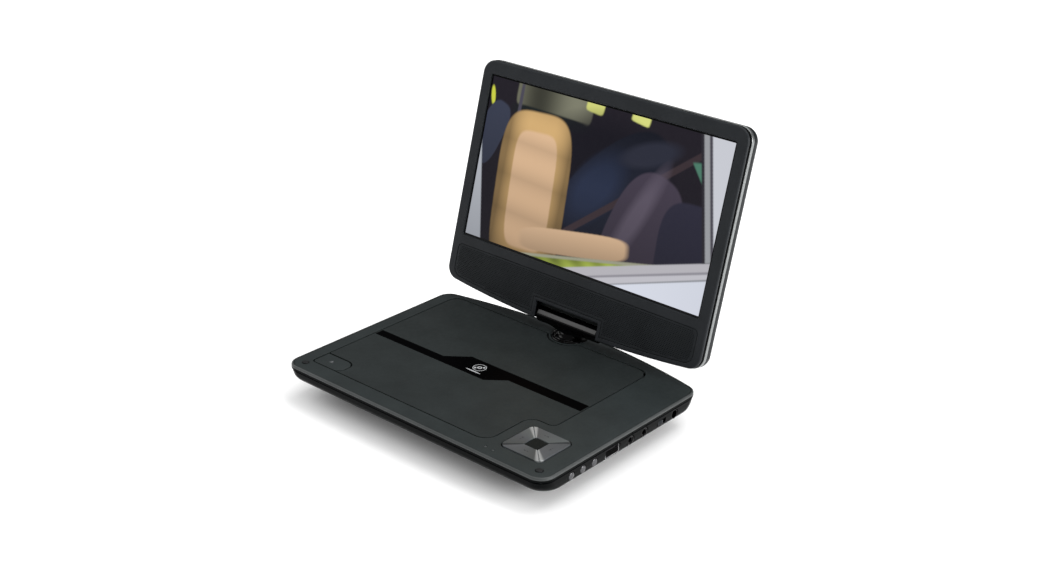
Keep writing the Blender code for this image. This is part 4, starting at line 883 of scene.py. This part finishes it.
def lid_case():
    front = 0.0075

    def level(inset, z, corner=0.0095):
        return lid_outline(inset, max(corner - inset * 0.8, 0.004)), z

    def levels(*rows):
        return [level(*row) for row in mm(*rows)]

    rings = levels((1, 5), (0.6, 5.4), (0.5, 5.8))
    rings += [level(0.0004 + 0.0012 * (1 - c), front - 0.0012 + 0.0012 * s) for c, s in quarter(7)]
    window = rectangle(-SCREEN_HALF, SCREEN_HALF, SCREEN_LOW, SCREEN_HIGH, 0.0012)
    chamfer = [(offset(window, 0.0005), front), (offset(window, 0.00035), front - 0.0001),
               (window, front - 0.0008), (window, 0.0050)]
    recess = offset(grille_outline(), 0.0003)
    holes = [chamfer, lip(recess, front, 0.00025, 0.0050, 3)]
    shell = panel("lid_bezel", LID, rings, holes)
    finish(shell, LID_FINISH, "lid", "lid_black", "front_frame")

    dark = levels((2.2, 5.2), (0.8, 5.2), (0.6, 5), (0.6, 3.8), (0.8, 3.6), (2.2, 3.6))
    finish(band("lid_band_gloss", LID, dark), STRIPE_GLOSS, "lid", "gloss_black", "lid_trim_band")
    # The lid's side band in pale metal is a painted reflection; by the hinge notch its faces take the black gloss
    # instead.
    bright = levels((1, 3.4), (0.3, 3.4), (0.1, 3.2), (0, 2.8), (0, 1.2), (0.2, 0.8), (1, 0.8))
    strip = finish(band("lid_band_painted_reflection", LID, bright), BAND_PAINTED_REFLECTION, "lid", "case_black")
    strip.data.materials.append(STRIPE_GLOSS)
    near = 0.0015
    for face in strip.data.polygons:
        spot = LID.inverted() @ face.center
        if abs(spot.x) < NOTCH_HALF + near and spot.y < NOTCH_HIGH + near:
            face.material_index = 1

    back = -0.0075
    rings = levels((6.5, -5.7, 8.5), (3.6, -4.5), (2.4, 3.3), (1.2, 3.3), (1.2, 0.7), (0.2, 0.7), (0.2, -2.0),
                   (0.4, -3.2), (0.8, -4.4), (1.6, -5.6), (2.8, -6.5), (4.2, -7.1), (5.6, -7.4), (7.0, -7.5))
    sinks = []
    for side in (-1, 1):
        hole = circle(side * LID_SCREW_X, LID_SCREW_Y, 0.0029, 32)
        sinks.append([(offset(hole, 0.0003), back), (hole, back + 0.0003), (hole, back + 0.0006)])
    shell = panel("lid_back", LID, rings, pockets=sinks)
    finish(shell, BACK, "lid", "case_black", "rear_cover")
    for side, name in ((-1, "left"), (1, "right")):
        place = at(LID, side * LID_SCREW_X, LID_SCREW_Y, back + 0.0001) @ Matrix.Rotation(math.pi, 4, "X")
        finish(screw_head(f"lid_screw_head_{name}", place, 0.0026), STEEL, "lid", "steel", f"lid_screw_{name}")


def web():
    """Wall across the top of the hinge notch, just clear of the barrel."""
    low = [Vector((-0.0045 + 0.007 * i / 12, 0.0061)) for i in range(13)]
    section = low + [Vector((0.0025, 0.0088)), Vector((-0.0045, 0.0088))]
    across = LID @ Matrix(((0, 0, 1, 0), (0, 1, 0, 0), (1, 0, 0, 0), (0, 0, 0, 1)))
    reach = NOTCH_HALF + 0.0004
    rings = [(offset(section, -0.0001), -reach), (section, -reach + 0.0001), (section, reach - 0.0001)]
    rings.append((offset(section, -0.0001), reach))
    finish(panel("notch_web", across, rings), CAVITY, "lid", "lid_black")


def grille():
    """Steel sheet with staggered round holes, over dark cloth."""
    plan = grille_outline()
    top, low = 0.0074, 0.0070
    rings = [(plan, low), (plan, top - 0.00015), (offset(plan, -0.00015), top)]
    edge_line = grille_outline(0.0013)
    pitch = 0.00135
    radius = 0.00040
    holes = []
    rows = int(0.036 / (pitch * 0.866))
    for row in range(rows):
        y = LID_LOW + row * pitch * 0.866
        shift = pitch / 2 if row % 2 else 0.0
        for col in range(-78, 79):
            x = col * pitch + shift
            if inside(edge_line, x, y):
                ring = circle(x, y, radius, 6)
                holes.append([(ring, top), (ring, low)])
    sheet = panel("grille_sheet", LID, rings, holes)
    finish(sheet, MESH_PAINT, "lid", "grille_cloth", "speaker_grille")
    cloth = offset(plan, -0.0003)
    finish(panel("grille_backing", LID, [(cloth, 0.0062), (cloth, 0.0067)]), CLOTH, "lid", "grille_cloth")


def inside(outline, x, y):
    within = False
    for i, a in enumerate(outline):
        b = outline[i - 1]
        if (a.y > y) != (b.y > y) and x < (b.x - a.x) * (y - a.y) / (b.y - a.y) + a.x:
            within = not within
    return within


def srgb(red, green, blue):
    return tuple((value / 255) ** 2.2 for value in (red, green, blue))


def picture(u, v):
    """Made-up still for the screen: empty seats in a car, past its window frame. u, v run 0 to 1."""
    x, y = u * 1.773, v

    def blob(cx, cy, rx, ry, angle=0.0, soft=0.05, power=2.0):
        c, s = math.cos(angle), math.sin(angle)
        across, along = (x - cx) * c + (y - cy) * s, -(x - cx) * s + (y - cy) * c
        reach = (np.abs(across / rx) ** power + np.abs(along / ry) ** power) ** (1 / power)
        return np.clip(0.5 - (reach - 1) / soft, 0, 1)

    def under(x0, y0, x1, y1, soft=0.008):
        gap = ((x - x0) * (y1 - y0) - (y - y0) * (x1 - x0)) / math.hypot(x1 - x0, y1 - y0)
        return np.clip(0.5 + gap / soft, 0, 1)

    image = np.zeros((*x.shape, 3))

    def paint(mask, color, shade=1.0):
        tone = np.array(srgb(*color))[None, None, :] * (shade * np.ones_like(x))[..., None]
        image[:] = image * (1 - mask[..., None]) + tone * mask[..., None]

    paint(np.ones_like(x), (30, 27, 33), 0.7 + 0.7 * y)
    glass = blob(0.50, 1.02, 0.29, 0.17, -0.02, 0.04, 8)
    paint(glass, (112, 112, 96), 0.75 + 0.5 * np.sin(11 * x + 0.5))
    paint(blob(0.50, 0.84, 0.29, 0.035, -0.02, 0.3, 6), (28, 34, 34))
    paint(blob(0.245, 0.86, 0.012, 0.17, 0.0, 0.6, 4), (74, 72, 84))
    paint(blob(0.80, 1.0, 0.065, 0.055, -0.1, 0.15, 6), (205, 208, 120))
    paint(blob(1.13, 0.985, 0.065, 0.030, -0.15, 0.2, 6), (212, 216, 126))
    paint(blob(0.025, 0.885, 0.016, 0.060, 0.2, 0.3), (200, 205, 70))
    paint(blob(0.055, 0.66, 0.095, 0.21, -0.35, 0.06, 3), (50, 54, 68), 0.5 + y)
    paint(blob(0.93, 0.60, 0.45, 0.32, 0.0, 0.5), (24, 22, 30))
    glow = np.clip(1.25 - 1.8 * np.abs(y - 0.52), 0.3, 1.2)
    paint(blob(1.03, 0.57, 0.44, 0.215, 0.78, 0.05, 2.4), (30, 33, 45), glow)
    paint(blob(0.90, 0.52, 0.25, 0.130, 0.95, 0.7), (38, 45, 64), glow)
    paint(blob(1.24, 0.80, 0.20, 0.070, 0.35, 0.5), (44, 46, 58))
    paint(under(1.20, 0.60, 1.60, 0.92) - under(1.20, 0.55, 1.60, 0.87), (58, 48, 52))
    paint(blob(1.62, 0.72, 0.13, 0.12, 0.1, 0.12, 4) * (1 - under(1.50, 0.86, 1.70, 0.62)), (76, 120, 102))
    paint(blob(1.27, 0.34, 0.23, 0.37, -0.30, 0.04, 2.6), (68, 61, 74), 0.45 + 0.8 * y)
    paint(blob(1.22, 0.42, 0.060, 0.30, -0.42, 0.9), (92, 84, 98), 0.55 + 0.7 * y)
    paint(blob(1.60, 0.30, 0.20, 0.30, 0.05, 0.05, 3), (42, 41, 54), 0.6 + y)
    # a tan seat back with sewn channels, and its bolster
    back = blob(0.44, 0.36, 0.275, 0.50, 0.05, 0.03, 4)
    sewn = 0.80 + 0.20 * np.abs(np.sin(14.5 * (y + 0.05 * x - 0.02)))
    round_off = np.clip(1.15 - 1.1 * np.abs((x - 0.44) / 0.275) ** 3, 0.45, 1.1)
    paint(back, (196, 160, 108), sewn * round_off * (0.55 + 0.65 * y))
    paint(blob(0.44, 0.38, 0.165, 0.36, 0.05, 0.05, 5), (224, 186, 148), sewn * (0.66 + 0.42 * y))
    paint(blob(0.82, 0.155, 0.40, 0.075, 0.16, 0.10, 4), (222, 186, 150), 0.55 + 2.0 * (y - 0.12 * x))
    # the door: its sill, the garden mirrored in the glass, and pale metal
    paint(under(0.30, -0.03, 1.38, 0.19), (150, 150, 130))
    leaves = 0.75 + 0.35 * np.sin(23 * x + 1) * np.sin(41 * y + 9 * x)
    paint(under(0.36, -0.035, 1.40, 0.175), (150, 165, 72), leaves)
    paint(under(0.72, -0.02, 1.74, 0.30), (178, 176, 182))
    paint(under(0.90, -0.02, 1.74, 0.25), (140, 138, 146))
    paint(under(0.94, -0.02, 1.74, 0.235), (188, 187, 194))
    paint(under(1.10, -0.01, 1.74, 0.205), (132, 134, 140))
    paint(under(1.12, -0.01, 1.74, 0.195), (214, 218, 230), 1.0 - 0.12 * (x - 1.1))
    post = ((1.555, (44, 42, 48)), (1.575, (150, 152, 156)), (1.612, (72, 70, 78)), (1.632, (198, 200, 208)))
    for start, color in post:
        paint(under(start + 0.165, 0.30, start - 0.02, 1.02) * (1 - under(1.40, 0.185, 1.78, 0.315)), color)
    paint(under(-0.002, 0.60, 0.125, -0.01, 0.006), (176, 180, 188), 0.7 + 0.5 * y)
    return np.clip(image, 0.0, 1.0)


def screen():
    half, low, high = 0.0986, 0.0366, 0.1474
    columns, rows = 330, 186
    u, v = np.meshgrid(np.linspace(0, 1, columns + 1), np.linspace(0, 1, rows + 1))
    colors = picture(u, v)
    mesh = bmesh.new()
    z = 0.0060
    grid = [[mesh.verts.new((-half + 2 * half * u[j, i], low + (high - low) * v[j, i], z))
             for i in range(columns + 1)] for j in range(rows + 1)]
    for j in range(rows):
        for i in range(columns):
            mesh.faces.new((grid[j][i], grid[j][i + 1], grid[j + 1][i + 1], grid[j + 1][i]))
    rim = [grid[0][i] for i in range(columns)] + [grid[j][columns] for j in range(rows)]
    rim += [grid[rows][i] for i in range(columns, 0, -1)] + [grid[j][0] for j in range(rows, 0, -1)]
    under = [mesh.verts.new((p.co.x, p.co.y, z - 0.0006)) for p in rim]
    skin(mesh, [rim, under])
    mesh.faces.new(under)
    lit = made("screen_picture", mesh, LID)
    layer = lit.data.color_attributes.new("picture", "FLOAT_COLOR", "POINT")
    flat = np.ones((len(lit.data.vertices), 4), dtype=np.float32) * 0.02
    flat[:(columns + 1) * (rows + 1), :3] = colors.reshape(-1, 3)
    layer.data.foreach_set("color", flat.ravel())
    mat, tree, main = shader("lit_screen", (0.004, 0.004, 0.005), 0.22, specular=0.12)
    shown = tree.nodes.new("ShaderNodeVertexColor")
    shown.layer_name = "picture"
    tree.links.new(shown.outputs["Color"], main.inputs["Emission Color"])
    main.inputs["Emission Strength"].default_value = 1.0
    tree.links.new(spread(tree, noise(tree, 300.0, 3.0), 0.20, 0.26), main.inputs["Roughness"])
    finish(lit, mat, "lid", "screen", "screen_glass")
    outer = rectangle(-SCREEN_HALF + 0.0002, SCREEN_HALF - 0.0002, SCREEN_LOW + 0.0002, SCREEN_HIGH - 0.0002, 0.001)
    inner = rectangle(-half + 0.0001, half - 0.0001, low + 0.0001, high - 0.0001, 0.0001, 8)
    mask = panel("screen_mask", LID, [(outer, 0.0055), (outer, 0.0062)], [[(inner, 0.0062), (inner, 0.0055)]])
    finish(mask, PIANO, "lid", "screen")


# ---------------------------------------------------------------- carried-over nodes


def carried_over():
    for names, mat in (
        (("main_board", "display_board"), COPPER),
        (("battery_pack",), WRAP),
        (("drive_chassis", "guide_rod_front", "guide_rod_rear", "lead_screw", "swivel_seat", "swivel_shaft"), STEEL),
        (("hinge_arm_left", "hinge_arm_right"), CAVITY),
        (("spindle_motor", "sled_motor", "laser_sled", "lcd_panel"), ZINC),
        (("speaker_left", "speaker_right"), DECK),
    ):
        for name in names:
            data = frame["nodes"][name].data
            data.materials.clear()
            data.materials.append(mat)


# ---------------------------------------------------------------- stage


# Strength of the white sky: straight on, and as glossy surfaces see it
SKY, SKY_IN_GLOSS = 0.94, 0.18
# The photo's camera: yaw, pitch and roll in degrees, focal length in mm on a 36 mm sensor, and place
CAMERA_ANGLES = (-39.839, 24.164, 1.777)
CAMERA_LENS = 54.1
CAMERA_SPOT = Vector((0.5867, FRONT - 0.5943, TOP + 0.4632))


def stage():
    mesh = bmesh.new()
    bmesh.ops.create_grid(mesh, x_segments=1, y_segments=1, size=6.0)
    floor = made("floor", mesh, Matrix.Translation((0.0, 0.0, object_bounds()[0][2] - 0.0001)))
    mat, tree, main = shader("pale_floor", (0.97, 0.97, 0.97), 0.5, specular=0.04)
    tree.links.new(spread(tree, noise(tree, 8.0), 0.46, 0.54), main.inputs["Roughness"])
    floor.data.materials.append(mat)
    floor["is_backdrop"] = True

    world = bpy.data.worlds.new("studio")
    bpy.context.scene.world = world
    world.use_nodes = True
    sky = world.node_tree.nodes["Background"]
    sky.inputs["Color"].default_value = (1.0, 1.0, 1.0, 1.0)
    ray = world.node_tree.nodes.new("ShaderNodeLightPath")
    dim = world.node_tree.nodes.new("ShaderNodeMath")
    dim.operation = "MULTIPLY_ADD"
    dim.inputs[1].default_value = SKY_IN_GLOSS - SKY
    dim.inputs[2].default_value = SKY
    world.node_tree.links.new(ray.outputs["Is Glossy Ray"], dim.inputs[0])
    world.node_tree.links.new(dim.outputs["Value"], sky.inputs["Strength"])

    for name, place, target, power, shape in (
        ("soft_top", (0.1, 0.5, 1.3), (0.0, 0.0, 0.0), 9.0, (1.4, 0.8)),
        ("soft_left", (-1.3, -0.3, 0.9), (0.0, 0.0, 0.05), 6.0, (1.0, 1.0)),
        ("soft_right", (1.2, 0.2, 0.45), (0.0, 0.0, 0.03), 11.0, (0.9, 0.5)),
    ):
        lamp = bpy.data.lights.new(name, "AREA")
        lamp.shape = "RECTANGLE"
        lamp.size, lamp.size_y = shape
        lamp.energy = power
        obj = bpy.data.objects.new(name, lamp)
        obj.location = place
        obj.rotation_euler = (Vector(target) - Vector(place)).to_track_quat("-Z", "Y").to_euler()
        bpy.context.scene.collection.objects.link(obj)

    yaw, pitch, roll = (math.radians(angle) for angle in CAMERA_ANGLES)
    ahead = Vector((math.sin(yaw) * math.cos(pitch), math.cos(yaw) * math.cos(pitch), -math.sin(pitch)))
    right = ahead.cross(Vector((0, 0, 1))).normalized()
    up = right.cross(ahead)
    across = right * math.cos(roll) + up * math.sin(roll)
    above = up * math.cos(roll) - right * math.sin(roll)
    camera = bpy.data.cameras.new("camera")
    camera.sensor_width = 36.0
    camera.lens = CAMERA_LENS
    camera.clip_start = 0.01
    obj = bpy.data.objects.new("camera", camera)
    obj.matrix_world = Matrix.Translation(CAMERA_SPOT) @ Matrix((across, above, -ahead)).transposed().to_4x4()
    bpy.context.scene.collection.objects.link(obj)
    bpy.context.scene.camera = obj
    bpy.context.scene.view_settings.view_transform = "Standard"


case_top()
case_bottom()
small_trim()
door()
key_open()
pad()
wall_items()
port_marks()
bay()
spindle_and_pickup()
hinge()
lid_case()
web()
grille()
screen()
carried_over()
stage()
